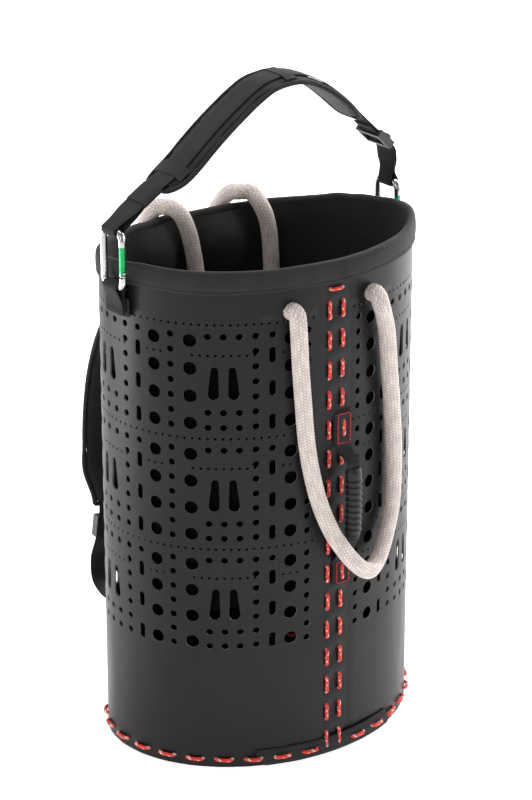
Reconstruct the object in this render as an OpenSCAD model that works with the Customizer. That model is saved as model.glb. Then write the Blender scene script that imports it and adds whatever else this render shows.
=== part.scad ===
// Rope storage bag: an oval tube of perforated plastic sheet, laced up the front and round the base,
// with a fabric rim, two rope handles, a grab handle, a clip-on carry strap and two shoulder straps.
// Millimetres. +Z is up, the front seam faces -Y and the origin is the middle of the base underside.

/* [Bag] */

// Height of the rim above the ground at the front
bag_h = 500; // [360:5:700]

// Half of the bag's width, along X
bag_a = 155; // [130:1:200]

// Half-depth of the front, from the middle to the seam
bag_front = 126; // [110:1:170]

// Half-depth of the flatter back
bag_back = 112; // [95:1:150]

// Thickness of the rolled plastic sheet
sheet_t = 1.5; // [1:0.1:3]

// How much lower the rim is at the back
rim_dip = 20; // [0:1:30]

// Thickness of the base plate and its upturned edge
base_t = 1.5; // [1:0.1:3]

// Height of the base plate's upturned edge
base_edge_h = 20; // [14:1:40]

/* [Collar] */

// Height of the fabric band over the rim
collar_h = 20.6; // [15:0.2:30]

// Thickness of the band on each side of the rim
collar_t = 2.4; // [1.5:0.1:4]

/* [Lacing] */

// Diameter of the lacing cord
lace_d = 4; // [3:0.1:5]

// Distance of the seam from the middle of the front, along the sheet
seam_u = 6.8; // [0:0.1:12]

// Distance between the two columns of stitches
lace_gap = 14.6; // [12:0.1:20]

// Distance between stitches along the seam
stitch_pitch = 29.2; // [26:0.1:40]

// Length of a stitch that shows
stitch_len = 17; // [12:0.5:20]

// Distance between stitches round the base
base_pitch = 28.3; // [26:0.1:40]

// Height of the stitches round the base
base_lace_z = 9; // [7:0.5:12]

/* [Rope handles] */

// Diameter of the rope
rope_d = 16; // [12:0.5:18]

// Room round the rope in its holes
rope_fit = 0.6; // [0.4:0.1:2]

// Diameter of the stopper knots
knot_d = 28; // [24:1:36]

/* [Webbing] */

// Width of the webbing
web_w = 25; // [20:1:30]

// Thickness of one layer of webbing
web_t = 2; // [1.2:0.1:2.6]

/* [Carry strap] */

// Turn of the carry strap about the vertical, in degrees
strap_turn = 7; // [0:0.5:10]

// Width of the padded part
pad_w = 46; // [40:1:70]

// Thickness of the padded part
pad_t = 7; // [5:0.5:14]

// Width of the slider's frame
slider_w = 33; // [31:0.5:40]

/* [Carabiners] */

// How much lower the right carabiner hangs
clip_drop = 22; // [0:1:24]

// Length of each carabiner
clip_h = 60; // [56:1:64]

// Width of each carabiner
clip_w = 34; // [32:1:40]

// Diameter of the carabiner's rod
rod_d = 6.5; // [5.5:0.1:7]

// Diameter of the gate
gate_d = 6; // [5:0.1:6.5]

// Diameter of the gate's pin
pin_d = 2; // [1.5:0.1:2.4]

/* [Grab handle] */

// Diameter of the rubber grip
grip_d = 16; // [14:0.5:20]

// Length of the rubber grip
grip_len = 70; // [50:1:72]

/* [Shoulder straps] */

// Width of a shoulder pad
shoulder_w = 56; // [45:1:65]

// Thickness of a shoulder pad
shoulder_t = 10; // [6:0.5:14]

// Distance of each shoulder strap from the middle, halfway up
shoulder_x = 80; // [65:1:85]

// Splay of the shoulder straps, in degrees
shoulder_splay = 7; // [0:1:10]

/* [Hidden] */

$fn = 48;

plastic_black = [0.09, 0.085, 0.08];
fabric_black = [0.06, 0.06, 0.065];
lace_red = [0.8, 0.08, 0.09];
rope_greige = [0.62, 0.57, 0.5];
silver = [0.8, 0.8, 0.82];
gate_green = [0.1, 0.55, 0.25];
label_white = [0.92, 0.92, 0.9];

// Clearance between pieces that move past each other
gap = 0.4;
// Room for one sheet end to lie under the other
lap_gap = 0.1;

// ---- The oval and distances along it ----

function unit(v) = v / norm(v);
function half_depth(t) = sin(t) < 0 ? bag_front : bag_back;
function oval_at(t, off) =
    let (b = half_depth(t), n = unit([cos(t) / bag_a, sin(t) / b]))
    [bag_a * cos(t) + off * n.x, b * sin(t) + off * n.y];

// Table of distance along the oval against angle, with 0 at the middle of the front
arc_step = 3;
arc_turns = 120;
function arc_part(i) = norm(oval_at(-90 + (i + 1) * arc_step, 0) - oval_at(-90 + i * arc_step, 0));
arc_right = [for (i = 0, s = 0; i <= arc_turns; s = s + arc_part(i), i = i + 1) [s, -90 + i * arc_step]];
perimeter = arc_right[arc_turns][0];
arc_left = [for (i = [0 : arc_turns - 1]) [arc_right[i][0] - perimeter, arc_right[i][1] - 360]];
arc_table = concat(arc_left, arc_right);
function angle_of(u) = lookup(u > perimeter ? u - perimeter : u, arc_table);
function along(u, off) = oval_at(angle_of(u), off);

oval_steps = 96;
function oval(off) = [for (i = [0 : oval_steps - 1]) oval_at(i * 360 / oval_steps, off)];
function front_y(x) = -bag_front * sqrt(1 - pow(x / bag_a, 2));
function back_y(x) = bag_back * sqrt(1 - pow(x / bag_a, 2));

// ---- Curves, ribbons and cords ----

function spline_at(a, b, c, d, t) =
    (2 * b + (c - a) * t + (2 * a - 5 * b + 4 * c - d) * t * t + (3 * b - a - 3 * c + d) * t * t * t) / 2;
function smooth(p, n) = let (last = len(p) - 1) concat(
    [for (i = [0 : last - 1], j = [0 : n - 1])
        spline_at(p[max(i - 1, 0)], p[i], p[i + 1], p[min(i + 2, last)], j / n)],
    [p[last]]);
function turn_at(p, i) = unit(p[min(i + 1, len(p) - 1)] - p[max(i - 1, 0)]);
function shifted(p, off) = [for (i = [0 : len(p) - 1]) let (d = turn_at(p, i)) p[i] + off * [-d.y, d.x]];
function backward(p) = [for (i = [len(p) - 1 : -1 : 0]) p[i]];

// A strip in the drawing plane, from one distance to another off its line
module ribbon(p, low, high) {
    polygon(concat(shifted(p, high), backward(shifted(p, low))));
}

// A drawing in X and Z, given a width along Y
module across_y(w) {
    translate([0, w / 2, 0])
        rotate([90, 0, 0])
            linear_extrude(w)
                children();
}

// A drawing in Y and Z, given a width along X
module across_x(w) {
    translate([-w / 2, 0, 0])
        rotate([90, 0, 90])
            linear_extrude(w)
                children();
}

// Points and radii that round off both ends of a cord
dome_angles = [8, 35, 62];
function dome_at(end, dir, r) = [for (a = dome_angles) end + dir * r * cos(a)];
function domed(p, d) = let (last = len(p) - 1)
    concat(dome_at(p[0], -turn_at(p, 0), d / 2), p, backward(dome_at(p[last], turn_at(p, last), d / 2)));
function domed_radii(p, d) = let (dome = [for (a = dome_angles) d / 2 * sin(a)])
    concat(dome, [for (q = p) d / 2], backward(dome));

function even(p, d) = [for (q = p) d / 2];

// A round cord along 3D points; side is a direction that the cord never runs along
module cord(p, radii, sides, side, closed = false) {
    last = len(p) - 1;
    tangents = [for (i = [0 : last])
        closed ? unit(p[(i + 1) % len(p)] - p[(i + last) % len(p)]) : turn_at(p, i)];
    rings = [for (i = [0 : last], k = [0 : sides - 1])
        let (n = unit(cross(tangents[i], side)), b = cross(tangents[i], n), w = k * 360 / sides)
        p[i] + radii[i] * (cos(w) * n + sin(w) * b)];
    spans = closed ? last : last - 1;
    walls = [for (i = [0 : spans], k = [0 : sides - 1])
        let (a = i * sides, b = ((i + 1) % len(p)) * sides, j = (k + 1) % sides)
        each [[a + k, b + k, b + j], [a + k, b + j, a + j]]];
    ends = closed ? [] : [
        [for (k = [0 : sides - 1]) k],
        [for (k = [sides - 1 : -1 : 0]) last * sides + k]];
    polyhedron(points = rings, faces = concat(walls, ends));
}

// ---- The rim, level at the front and lower towards the back ----

dip_start_y = -40;
dip_slope = rim_dip / (bag_back - dip_start_y);
far = 900;
function rim_z(y) = bag_h - max(0, y - dip_start_y) * dip_slope;

// Everything above the rim, moved up by z
module above_rim(z) {
    across_x(far)
        polygon([[-far, bag_h + z], [dip_start_y, bag_h + z], [far / 2, rim_z(far / 2) + z],
            [far / 2, far * 2], [-far, far * 2]]);
}

module ring(inner, outer, h) {
    linear_extrude(h)
        difference() {
            polygon(oval(outer));
            polygon(oval(inner));
        }
}

// ---- Shell ----

lap_in = 17;
lap_out = 14.2;
lap_flat = 12;
lap_ease = 70;
sheet_step = 9;
shell_top_gap = collar_t + 0.2;
under = sheet_t + lap_gap;
hole_d = rope_d + 2 * rope_fit;

// How far the outer face sits in: under the other end at the seam, easing out to the full oval
function sheet_in(u) =
    let (v = (u - seam_u - lap_out - lap_flat) / lap_ease, t = min(1, max(0, v)))
    -under * (1 - t * t * (3 - 2 * t));
sheet_from = seam_u - lap_in;
sheet_to = seam_u + lap_out + perimeter;
sheet_count = ceil((sheet_to - sheet_from) / sheet_step);
sheet_us = [for (i = [0 : sheet_count]) sheet_from + (sheet_to - sheet_from) * i / sheet_count];

front_rope_z = 458;
front_rope_x = [-38, 50];
back_rope_z = 446;
back_rope_x = [-56, 28];

module rope_holes() {
    for (x = front_rope_x)
        translate([x, 0, front_rope_z])
            rotate([90, 0, 0])
                cylinder(h = bag_front * 2, d = hole_d);
    for (x = back_rope_x)
        translate([x, 0, back_rope_z])
            rotate([-90, 0, 0])
                cylinder(h = bag_back * 2, d = hole_d);
}

module shell() {
    color(plastic_black)
        difference() {
            linear_extrude(bag_h)
                polygon(concat(
                    [for (u = sheet_us) along(u, sheet_in(u))],
                    backward([for (u = sheet_us) along(u, sheet_in(u) - sheet_t)])));
            above_rim(-shell_top_gap);
            rope_holes();
        }
}

// ---- Base plate ----

base_off = -under - sheet_t - 0.2;

module base_plate() {
    color(plastic_black) {
        linear_extrude(base_t)
            polygon(oval(base_off));
        ring(base_off - base_t, base_off, base_edge_h);
    }
}

// ---- Collar ----

collar_in = -under - sheet_t - 0.1;

module collar() {
    color(fabric_black)
        intersection() {
            difference() {
                ring(collar_in - collar_t, collar_t, bag_h);
                translate([0, 0, -1])
                    difference() {
                        ring(collar_in, 0, bag_h + 1);
                        above_rim(1 - collar_t);
                    }
                above_rim(0);
            }
            above_rim(-collar_h);
        }
}

// ---- Lining hung from the collar ----

// Height of the lining's lower edge
lining_low = 168;
lining_t = 1.6;
hem_h = 17;
hem_drop = 4;
hem_off = collar_in - collar_t - 0.1;
lining_off = -under - sheet_t - lace_d - 0.3;

// A knot's place and its shape, grown on every side
module at_knots(xs, z, front) {
    for (x = xs)
        translate([x, front ? front_y(x) : back_y(x), z])
            rotate([front ? -90 : 90, 0, 0])
                children();
}

module knot(grow) {
    translate([0, 0, under + sheet_t + knot_in - grow]) {
        cylinder(h = knot_bevel, d1 = knot_d - 2 * knot_bevel + 2 * grow, d2 = knot_d + 2 * grow);
        translate([0, 0, knot_bevel])
            cylinder(h = knot_len - 2 * knot_bevel + 2 * grow, d = knot_d + 2 * grow);
        translate([0, 0, knot_len - knot_bevel + 2 * grow])
            cylinder(h = knot_bevel, d1 = knot_d + 2 * grow, d2 = knot_d - 2 * knot_bevel + 2 * grow);
    }
}

module knots(grow) {
    at_knots(front_rope_x, front_rope_z, true)
        knot(grow);
    at_knots(back_rope_x, back_rope_z, false)
        knot(grow);
}

module lining() {
    color(fabric_black)
        difference() {
            union() {
                translate([0, 0, lining_low])
                    ring(lining_off - lining_t, lining_off, bag_h);
                intersection() {
                    ring(lining_off - lining_t, hem_off, bag_h);
                    above_rim(-hem_h - hem_drop);
                }
                intersection() {
                    knots(gap + lining_t);
                    linear_extrude(bag_h)
                        polygon(oval(lining_off));
                }
            }
            knots(gap);
            above_rim(-hem_drop);
            at_knots(front_rope_x, front_rope_z, true)
                cylinder(h = knot_len, d = rope_d + 2 * gap);
            at_knots(back_rope_x, back_rope_z, false)
                cylinder(h = knot_len, d = rope_d + 2 * gap);
        }
}

// ---- Strip over the bottom of the front ----

front_patch_t = 2;
front_patch_h = 17;
front_patch_x = [-70, 82];
front_patch_slant = 8;

module front_patch() {
    color(fabric_black)
        intersection() {
            ring(0, front_patch_t, front_patch_h);
            translate([0, -bag_front, 0])
                across_y(bag_front)
                    polygon([[front_patch_x[0] + front_patch_slant, 0], [front_patch_x[1], 0],
                        [front_patch_x[1], front_patch_h - front_patch_slant],
                        [front_patch_x[1] - front_patch_slant / 2, front_patch_h],
                        [front_patch_x[0], front_patch_h], [front_patch_x[0], front_patch_slant]]);
        }
}

// ---- Lacing ----

lace_r = lace_d / 2;
lace_sides = 8;
patch_t = web_t;
stitch_top_z = bag_h - collar_h - 26.4;
stitch_count = floor((stitch_top_z - stitch_len / 2) / stitch_pitch) + 1;
upper_patch_stitch = 4;
lower_patch_stitch = 9;
dive = 2.5;

function stitch_z(i) = stitch_top_z - i * stitch_pitch;
function over_patch(i, patched) = patched && (i == upper_patch_stitch || i == lower_patch_stitch);
// One stitch out and over, then behind to the next: height and distance off the oval
function stitch_shape(z, out) = let (h = stitch_len / 2, behind = -under - sheet_t - lace_r) [
    [z + h + dive, behind], [z + h, (out + behind) / 2], [z + h - dive, out], [z, out],
    [z - h + dive, out], [z - h, (out + behind) / 2], [z - h - dive, behind]];
function column_path(u, patched) = [for (i = [0 : stitch_count - 1])
    let (out = lace_r + (over_patch(i, patched) ? patch_t + lace_r / 4 : 0))
    each [for (q = stitch_shape(stitch_z(i), out)) let (xy = along(u, q[1])) [xy.x, xy.y, q[0]]]];

module seam_lacing(u, patched) {
    path = column_path(u, patched);
    color(lace_red)
        cord(path, even(path, lace_d), lace_sides, [1, 0, 0]);
}

module seam_lacing_left() {
    seam_lacing(seam_u - lace_gap / 2, false);
}

module seam_lacing_right() {
    seam_lacing(seam_u + lace_gap / 2, true);
}

cross_stitch_z = bag_h - collar_h - 5.9;
cross_over = 4;

module seam_lacing_top() {
    behind = -under - sheet_t - lace_r;
    half = lace_gap / 2;
    shape = [[-half - cross_over / 2, behind], [-half, (lace_r + behind) / 2], [-half + cross_over / 2, lace_r],
        [0, lace_r], [half - cross_over / 2, lace_r], [half, (lace_r + behind) / 2],
        [half + cross_over / 2, behind]];
    path = [for (q = shape) let (xy = along(seam_u + q[0], q[1])) [xy.x, xy.y, cross_stitch_z]];
    color(lace_red)
        cord(path, even(path, lace_d), lace_sides, [0, 0, 1]);
}

base_stitches = round(perimeter / base_pitch);
base_phase = 2.2;
base_stitch_pitch = perimeter / base_stitches;
function near_patch(x, y) = y < 0 && x > front_patch_x[0] - lace_d && x < front_patch_x[1] + lace_d;
function base_out(u) = let (p = along(u, 0)) lace_r + (near_patch(p.x, p.y) ? front_patch_t : 0);

module base_lacing() {
    behind = base_off - base_t - lace_r;
    h = stitch_len / 2;
    // Distance along from the middle of a stitch, and 1 outside, 0 behind
    shape = [[-h, 0.5], [-h + dive, 1], [0, 1], [h - dive, 1], [h, 0.5], [h + dive, 0],
        [base_stitch_pitch - h - dive, 0]];
    // The stitch that would fall under the seam is left out
    path = [for (i = [1 : base_stitches - 1], q = shape)
        let (u = seam_u + base_phase + i * base_stitch_pitch + q[0],
            xy = along(u, behind + q[1] * (base_out(u) - behind)))
        [xy.x, xy.y, base_lace_z]];
    color(lace_red)
        cord(path, even(path, lace_d), lace_sides, [0, 0, 1], true);
}

// ---- Rope handles ----

rope_sides = 12;
rope_r = rope_d / 2;
rope_ring_n = 2;

// The hanging loop of the front handle, from one hole round to the other
front_rope_points = [[-38, -131, 458], [-38, -133, 448], [-37, -133, 433], [-35, -132.5, 405],
    [-32, -132.5, 370], [-29, -133, 335], [-24, -134, 303], [-17, -136.5, 272], [-8, -142.5, 244],
    [2, -151, 223], [14, -154.5, 207], [27, -152, 197], [41, -142, 194], [54, -133, 200],
    [66, -125.5, 217], [74, -121.5, 240], [77, -120, 268], [76, -120.5, 305], [72, -122, 348],
    [67, -124.5, 384], [62, -127, 420], [56, -130, 440], [52, -132, 449], [50, -131, 458]];

// The back handle's loop, hung over the rim into the bag
back_rope_points = [[-36, 107, 490], [-30, 100, 489.5], [-24, 93, 482], [-18, 91, 466], [-13, 91, 445],
    [-9, 91, 420], [-5, 90, 393], [0, 89, 360], [7, 88, 332], [17, 86, 311], [30, 84, 301],
    [43, 82.5, 301], [54, 81.5, 310], [62, 80.5, 328], [66, 80, 358], [68, 79.5, 400], [67.5, 80, 435],
    [65, 80.5, 460], [60, 83, 478], [55, 93.5, 490.5], [50, 101.5, 491], [46, 107, 490]];

// The back handle's two legs, out of their holes and up to the rim
back_leg_left = [[-56, 94, 446], [-56, 106, 446], [-56, 114, 448], [-54, 118.5, 457], [-49, 119.5, 470],
    [-44, 117.5, 481], [-40.5, 113.8, 486.5]];
back_leg_right = [[28, 99, 446], [28, 111, 446], [28, 119, 448], [30, 123.5, 457], [34, 124, 470],
    [39, 120, 481], [42.5, 114, 486.5]];

module rope_loop(points) {
    path = smooth(points, rope_ring_n);
    color(rope_greige)
        cord(domed(path, rope_d), domed_radii(path, rope_d), rope_sides, [0, 1, 0]);
}

module front_rope_handle() {
    rope_loop(front_rope_points);
}

module back_rope_handle() {
    rope_loop(back_rope_points);
}

knot_in = 0.6;
knot_len = 18;
knot_bevel = 4;

module front_rope_ends() {
    for (x = front_rope_x)
        color(rope_greige)
            translate([x, front_y(x), front_rope_z])
                rotate([-90, 0, 0]) {
                    knot(0);
                    translate([0, 0, front_rope_points[0].y + rope_r + gap - front_y(x)])
                        cylinder(h = knot_len, d = rope_d);
                }
}

module back_rope_ends() {
    color(rope_greige) {
        for (leg = [back_leg_left, back_leg_right]) {
            path = smooth(leg, rope_ring_n);
            cord(path, even(path, rope_d), rope_sides, [1, 0, 0]);
        }
        at_knots(back_rope_x, back_rope_z, false)
            knot(0);
    }
}

// ---- Grab handle on the front ----

grip_u = seam_u + lace_gap / 2;
grip_x = along(grip_u, 0).x;
patch_face_y = front_y(grip_x) - patch_t;
patch_h = 34;
grip_web_y = patch_face_y - web_t;
grip_out = 19;
grip_mid_z = 268;
grip_bore_fit = 0.1;
upper_patch_z = stitch_z(upper_patch_stitch);
lower_patch_z = stitch_z(lower_patch_stitch);
grip_end = grip_len / 2;

// Height against distance from the bag, along the middle of the webbing
grip_line = [for (q = [[upper_patch_z + 15, 0], [upper_patch_z - 15, 0], [upper_patch_z - 21, 3],
        [grip_mid_z + grip_end + 6, grip_out - 3], [grip_mid_z + grip_end - 4, grip_out],
        [grip_mid_z - grip_end + 4, grip_out], [grip_mid_z - grip_end - 6, grip_out - 3],
        [lower_patch_z + 15, 1], [lower_patch_z + 10, 0], [lower_patch_z - 12, 0]])
    [patch_face_y - web_t / 2 - q[1], q[0]]];

module grip_patch(z, h) {
    color(fabric_black)
        difference() {
            translate([grip_x - web_w / 2, patch_face_y, z - h / 2])
                cube([web_w, bag_front, h]);
            linear_extrude(bag_h)
                polygon(oval(0));
            translate([0, 0, -1])
                linear_extrude(bag_h + 2)
                    difference() {
                        square(far, center = true);
                        translate([-far / 2, -far])
                            square(far);
                    }
        }
}

module grip_patch_upper() {
    grip_patch(upper_patch_z, patch_h);
}

module grip_patch_lower() {
    grip_patch(lower_patch_z, patch_h - 8);
}

grip_web_w = 14;

module grip_webbing() {
    color(fabric_black)
        translate([grip_x, 0, 0])
            across_x(grip_web_w)
                ribbon(grip_line, -web_t / 2, web_t / 2);
}

module grip_rubber() {
    y = patch_face_y - web_t / 2 - grip_out;
    color(plastic_black)
        difference() {
            translate([grip_x, y, grip_mid_z - grip_end])
                cylinder(h = grip_len, d = grip_d);
            translate([grip_x - grip_web_w / 2 - grip_bore_fit, y - web_t / 2 - 5 * grip_bore_fit,
                grip_mid_z - grip_end - 1])
                cube([grip_web_w + 2 * grip_bore_fit, web_t + 10 * grip_bore_fit, grip_len + 2]);
        }
}

// ---- Carry strap's ends: tabs, carabiners and gates ----

clip_x = bag_a + collar_t + rod_d / 2 + 2.85;
clip_line_h = clip_h / 2 - rod_d / 2;
clip_line_w = clip_w / 2 - rod_d / 2;
eye_r = rod_d / 2 + 0.75;
function clip_z(side) = bag_h + 2 - (side > 0 ? clip_drop : 0);
function low_eye_z(side) = clip_z(side) - clip_line_h;
function high_eye_z(side) = clip_z(side) + clip_line_h;
function tab_pivot_z(side) = low_eye_z(side) - 17;
tab_patch_h = 22;
// The patches stop lower than the loops' roots, clear of the loops' slanted upper parts
tab_patch_cut = 5;
// Room for the loops to turn over their patches, since the strap's axis is tilted
tab_gap = 2.1;
tab_face_x = clip_x - eye_r + 0.8;

module turned() {
    rotate([0, 0, strap_turn])
        children();
}

module tab_patch(side) {
    color(fabric_black)
        difference() {
            turned()
                scale_x(side)
                    translate([bag_a - 12, -web_w / 2, tab_pivot_z(side) - tab_patch_h / 2])
                        cube([tab_face_x - tab_gap - bag_a + 12, web_w, tab_patch_h - tab_patch_cut]);
            linear_extrude(bag_h)
                polygon(oval(0));
        }
}

// Mirrors to the left where side is -1
module scale_x(side) {
    mirror([side < 0 ? 1 : 0, 0, 0])
        children();
}

module tab_loop(side) {
    eye_z = low_eye_z(side);
    pivot_z = tab_pivot_z(side);
    color(fabric_black)
        turned()
            scale_x(side)
                across_y(web_w)
                    difference() {
                        union() {
                            translate([clip_x, eye_z])
                                circle(r = eye_r + web_t);
                            translate([tab_face_x, pivot_z - tab_patch_h / 2 + 2])
                                square([2 * web_t, tab_patch_h]);
                            polygon([[tab_face_x, pivot_z + 6], [tab_face_x + 2 * web_t, pivot_z + 6],
                                [clip_x + eye_r + web_t - 0.4, eye_z - 1.6],
                                [clip_x, eye_z + 1], [tab_face_x - 0.6, eye_z - 3]]);
                        }
                        translate([clip_x, eye_z])
                            circle(r = eye_r);
                        translate([0, pivot_z])
                            square([bag_a + collar_t + gap, clip_h]);
                    }
}

module tab_patch_left() {
    tab_patch(-1);
}

module tab_patch_right() {
    tab_patch(1);
}

module tab_loop_left() {
    tab_loop(-1);
}

module tab_loop_right() {
    tab_loop(1);
}

bend_r = 8.5;
pivot_up = 18;
gate_y = -clip_line_w;
gate_top = clip_line_h - bend_r - 4.5;
gate_pivot = -clip_line_h + pivot_up - 3;
tongue_t = 2.3;
nose_gap = 0.5;

// A quarter bend of the rod, centred on (y, z), from one angle
module bend(y, z, from, sweep) {
    translate([0, y, z])
        rotate([90, 0, 90])
            rotate([0, 0, from])
                rotate_extrude(angle = sweep)
                    translate([bend_r, 0])
                        circle(d = rod_d);
}

module rod_up(y, low, high) {
    translate([0, y, low])
        cylinder(h = high - low, d = rod_d);
}

module rod_across(z) {
    translate([0, -clip_line_w + bend_r, z])
        rotate([-90, 0, 0])
            cylinder(h = 2 * (clip_line_w - bend_r), d = rod_d);
}

module carabiner_body() {
    w = clip_line_w - bend_r;
    h = clip_line_h - bend_r;
    bend(w, h, 0, 90);
    bend(-w, h, 90, 90);
    bend(-w, -h, 180, 90);
    bend(w, -h, 270, 90);
    rod_up(clip_line_w, -h, h);
    rod_across(clip_line_h);
    rod_across(-clip_line_h);
    rod_up(gate_y, gate_top + nose_gap, h);
    rod_up(gate_y, -h, gate_pivot - gate_d / 2 - gap);
    difference() {
        union() {
            translate([-tongue_t / 2, gate_y, gate_pivot])
                rotate([0, 90, 0])
                    cylinder(h = tongue_t, r = gate_d / 2 - 0.3);
            translate([-tongue_t / 2, gate_y - gate_d / 2 + 0.7, -h])
                cube([tongue_t, gate_d - 1.4, gate_pivot + h]);
        }
        pin(pin_d);
    }
}

module pin(d) {
    translate([-gate_d / 2, gate_y, gate_pivot])
        rotate([0, 90, 0])
            cylinder(h = gate_d, d = d);
}

module gate_body() {
    difference() {
        union() {
            translate([0, gate_y, gate_pivot]) {
                cylinder(h = gate_top - gate_pivot, d = gate_d);
                sphere(d = gate_d);
            }
        }
        translate([-tongue_t / 2 - 0.3, gate_y - gate_d, gate_pivot - gate_d])
            cube([tongue_t + 0.6, 2 * gate_d, 1.5 * gate_d + 0.4]);
        pin(pin_d + 0.1);
    }
}

module at_clip(side) {
    turned()
        translate([side * clip_x, 0, clip_z(side)])
            children();
}

module carabiner_left() {
    color(silver)
        at_clip(-1)
            carabiner_body();
}

module carabiner_right() {
    color(silver)
        at_clip(1)
            carabiner_body();
}

module gate_left() {
    color(gate_green)
        at_clip(-1)
            gate_body();
}

module gate_right() {
    color(gate_green)
        at_clip(1)
            gate_body();
}

module gate_pin_left() {
    color(silver)
        at_clip(-1)
            pin(pin_d);
}

module gate_pin_right() {
    color(silver)
        at_clip(1)
            pin(pin_d);
}

// ---- Carry strap ----

// The arch: X along the strap, and the height of its upper face above the rim
arch_points = [[-148, 44], [-133, 53], [-117, 62], [-100, 70], [-85, 80], [-70, 92], [-51, 106],
    [-31, 119], [-14, 129], [5, 137], [28, 139], [46, 136], [63, 129], [81, 118], [100, 103], [119, 84]];
arch_n = 3;
// Half of the width that the arch was drawn for
arch_half = 155;
arch_line = smooth([for (p = arch_points) [p.x * bag_a / arch_half, p.y + bag_h]], arch_n);
arch_end = arch_line[len(arch_line) - 1];
pad_skip = 6;
pad_line = [for (i = [pad_skip : len(arch_line) - 1]) arch_line[i]];
left_eye = [-clip_x, high_eye_z(-1)];
right_eye = [clip_x, high_eye_z(1)];
eye_grip = eye_r + web_t / 3;
left_start = left_eye + unit(arch_line[0] - left_eye) * eye_grip;
slider_end = [clip_x - 6, right_eye.y + 40];
slide_dir = unit(slider_end - arch_end);
slide_norm = [-slide_dir.y, slide_dir.x];
slider_len = 22;
slider_mid = slider_end - slide_dir * (slider_len / 2 + 2);
down_line = smooth([slider_end, [clip_x - 0.8, right_eye.y + 31], [clip_x + 1, right_eye.y + 16],
    right_eye + [0.9, eye_grip]], 3);
right_line = concat([arch_end + slide_dir * 4, arch_end + slide_dir * 8], down_line);
whole_line = concat([left_start], arch_line, right_line);

module strap_eye(eye, r, w) {
    across_y(w)
        translate(eye)
            circle(r = r, $fn = 12);
}

module strap_webbing() {
    color(fabric_black)
        turned()
            difference() {
                union() {
                    across_y(web_w) {
                        ribbon(whole_line, -web_t, 0);
                        ribbon(right_line, -2 * web_t, -web_t / 2);
                    }
                    strap_eye(left_eye, eye_r + web_t, web_w);
                    strap_eye(right_eye, eye_r + web_t, web_w);
                }
                strap_eye(left_eye, eye_r, web_w + 2);
                strap_eye(right_eye, eye_r, web_w + 2);
            }
}

pad_taper = 26;
pad_neck = web_w + 6;

module strap_pad() {
    from = pad_line[0].x;
    to = pad_line[len(pad_line) - 1].x;
    color(fabric_black)
        turned()
            intersection() {
                across_y(pad_w)
                    ribbon(pad_line, -web_t - pad_t, -web_t);
                translate([0, 0, bag_h])
                    linear_extrude(far / 2)
                        polygon([[from - pad_t, -pad_neck / 2], [from + pad_taper, -pad_w / 2],
                            [to - pad_taper, -pad_w / 2], [to + pad_t, -pad_neck / 2],
                            [to + pad_t, pad_neck / 2], [to - pad_taper, pad_w / 2],
                            [from + pad_taper, pad_w / 2], [from - pad_t, pad_neck / 2]]);
            }
}

keeper_t = 1.5;

// A band sewn round the webbing where the pad begins
module strap_keeper() {
    line = [arch_line[2], arch_line[3], arch_line[4], arch_line[5]];
    color(fabric_black)
        turned()
            difference() {
                across_y(web_w + 2 * keeper_t)
                    ribbon(line, -web_t - keeper_t, keeper_t);
                across_y(web_w)
                    ribbon(arch_line, -web_t, 0);
            }
}

label_w = 2.5;
label_t = 0.8;
label_span = [34 : 37];

// A blank tag sewn in under the webbing's front edge
module strap_label() {
    color(label_white)
        turned()
            translate([0, -(web_w + label_w) / 2, 0])
                across_y(label_w)
                    ribbon([for (i = label_span) arch_line[i]], -web_t, label_t - web_t);
}

module slider_bar(along_strap, low, high) {
    c = slider_mid + slide_dir * along_strap;
    across_y(slider_w)
        polygon([for (q = [[-2, low], [2, low], [2, high], [-2, high]]) c + slide_dir * q[0] + slide_norm * q[1]]);
}

module strap_slider() {
    low = -2 * web_t - gap - 2.5;
    high = gap + 2.5;
    rail = (slider_w - web_w) / 2 - gap;
    color(plastic_black)
        turned() {
            slider_bar(0, gap, high);
            slider_bar(-slider_len / 2 + 2, low, low + 2.5);
            slider_bar(slider_len / 2 - 2, low, low + 2.5);
            for (y = [-(slider_w - rail) / 2, (slider_w - rail) / 2])
                translate([0, y, 0])
                    across_y(rail)
                        polygon([for (q = [[-slider_len / 2, low], [slider_len / 2, low],
                                [slider_len / 2, high - 2], [-slider_len / 2, high - 2]])
                            slider_mid + slide_dir * q[0] + slide_norm * q[1]]);
            for (y = [-(slider_w - rail) / 2, (slider_w - rail) / 2])
                translate([0, y, 0])
                    across_y(rail)
                        polygon([for (q = [[-4, high - 2.5], [4, high - 2.5], [2, high], [-2, high]])
                            slider_mid + slide_dir * q[0] + slide_norm * q[1]]);
        }
}

// ---- Shoulder straps ----

shoulder_mid_z = 280;
// Depth of the back that the straps' lines were drawn for
shoulder_back = 112;
// Y against Z of the pad's middle, from the top anchor down
shoulder_line = smooth([[101, 430], [105, 412], [117, 388], [133, 352], [141, 312], [140, 268], [132, 222],
    [124, 188]], 3);
lower_line = smooth([[124, 191], [121, 172], [125, 148], [130, 128], [124, 108], [108, 100], [92, 99],
    [74, 98]], 3);

module at_shoulder(side) {
    translate([side * shoulder_x, bag_back - shoulder_back, shoulder_mid_z])
        rotate([0, -side * shoulder_splay, 0])
            translate([0, 0, -shoulder_mid_z])
                children();
}

module outside_shell() {
    difference() {
        children();
        translate([0, 0, -far])
            linear_extrude(2 * far)
                polygon(oval(0.05));
    }
}

module shoulder_pad(side) {
    color(fabric_black)
        outside_shell()
            at_shoulder(side)
                across_x(shoulder_w)
                    ribbon(shoulder_line, -shoulder_t / 2, shoulder_t / 2);
}

module shoulder_webbing(side) {
    color(fabric_black)
        outside_shell()
            at_shoulder(side)
                across_x(web_w)
                    ribbon(lower_line, -web_t / 2, web_t / 2);
}

adjuster_low_z = 166;
adjuster_h = 22;

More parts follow.
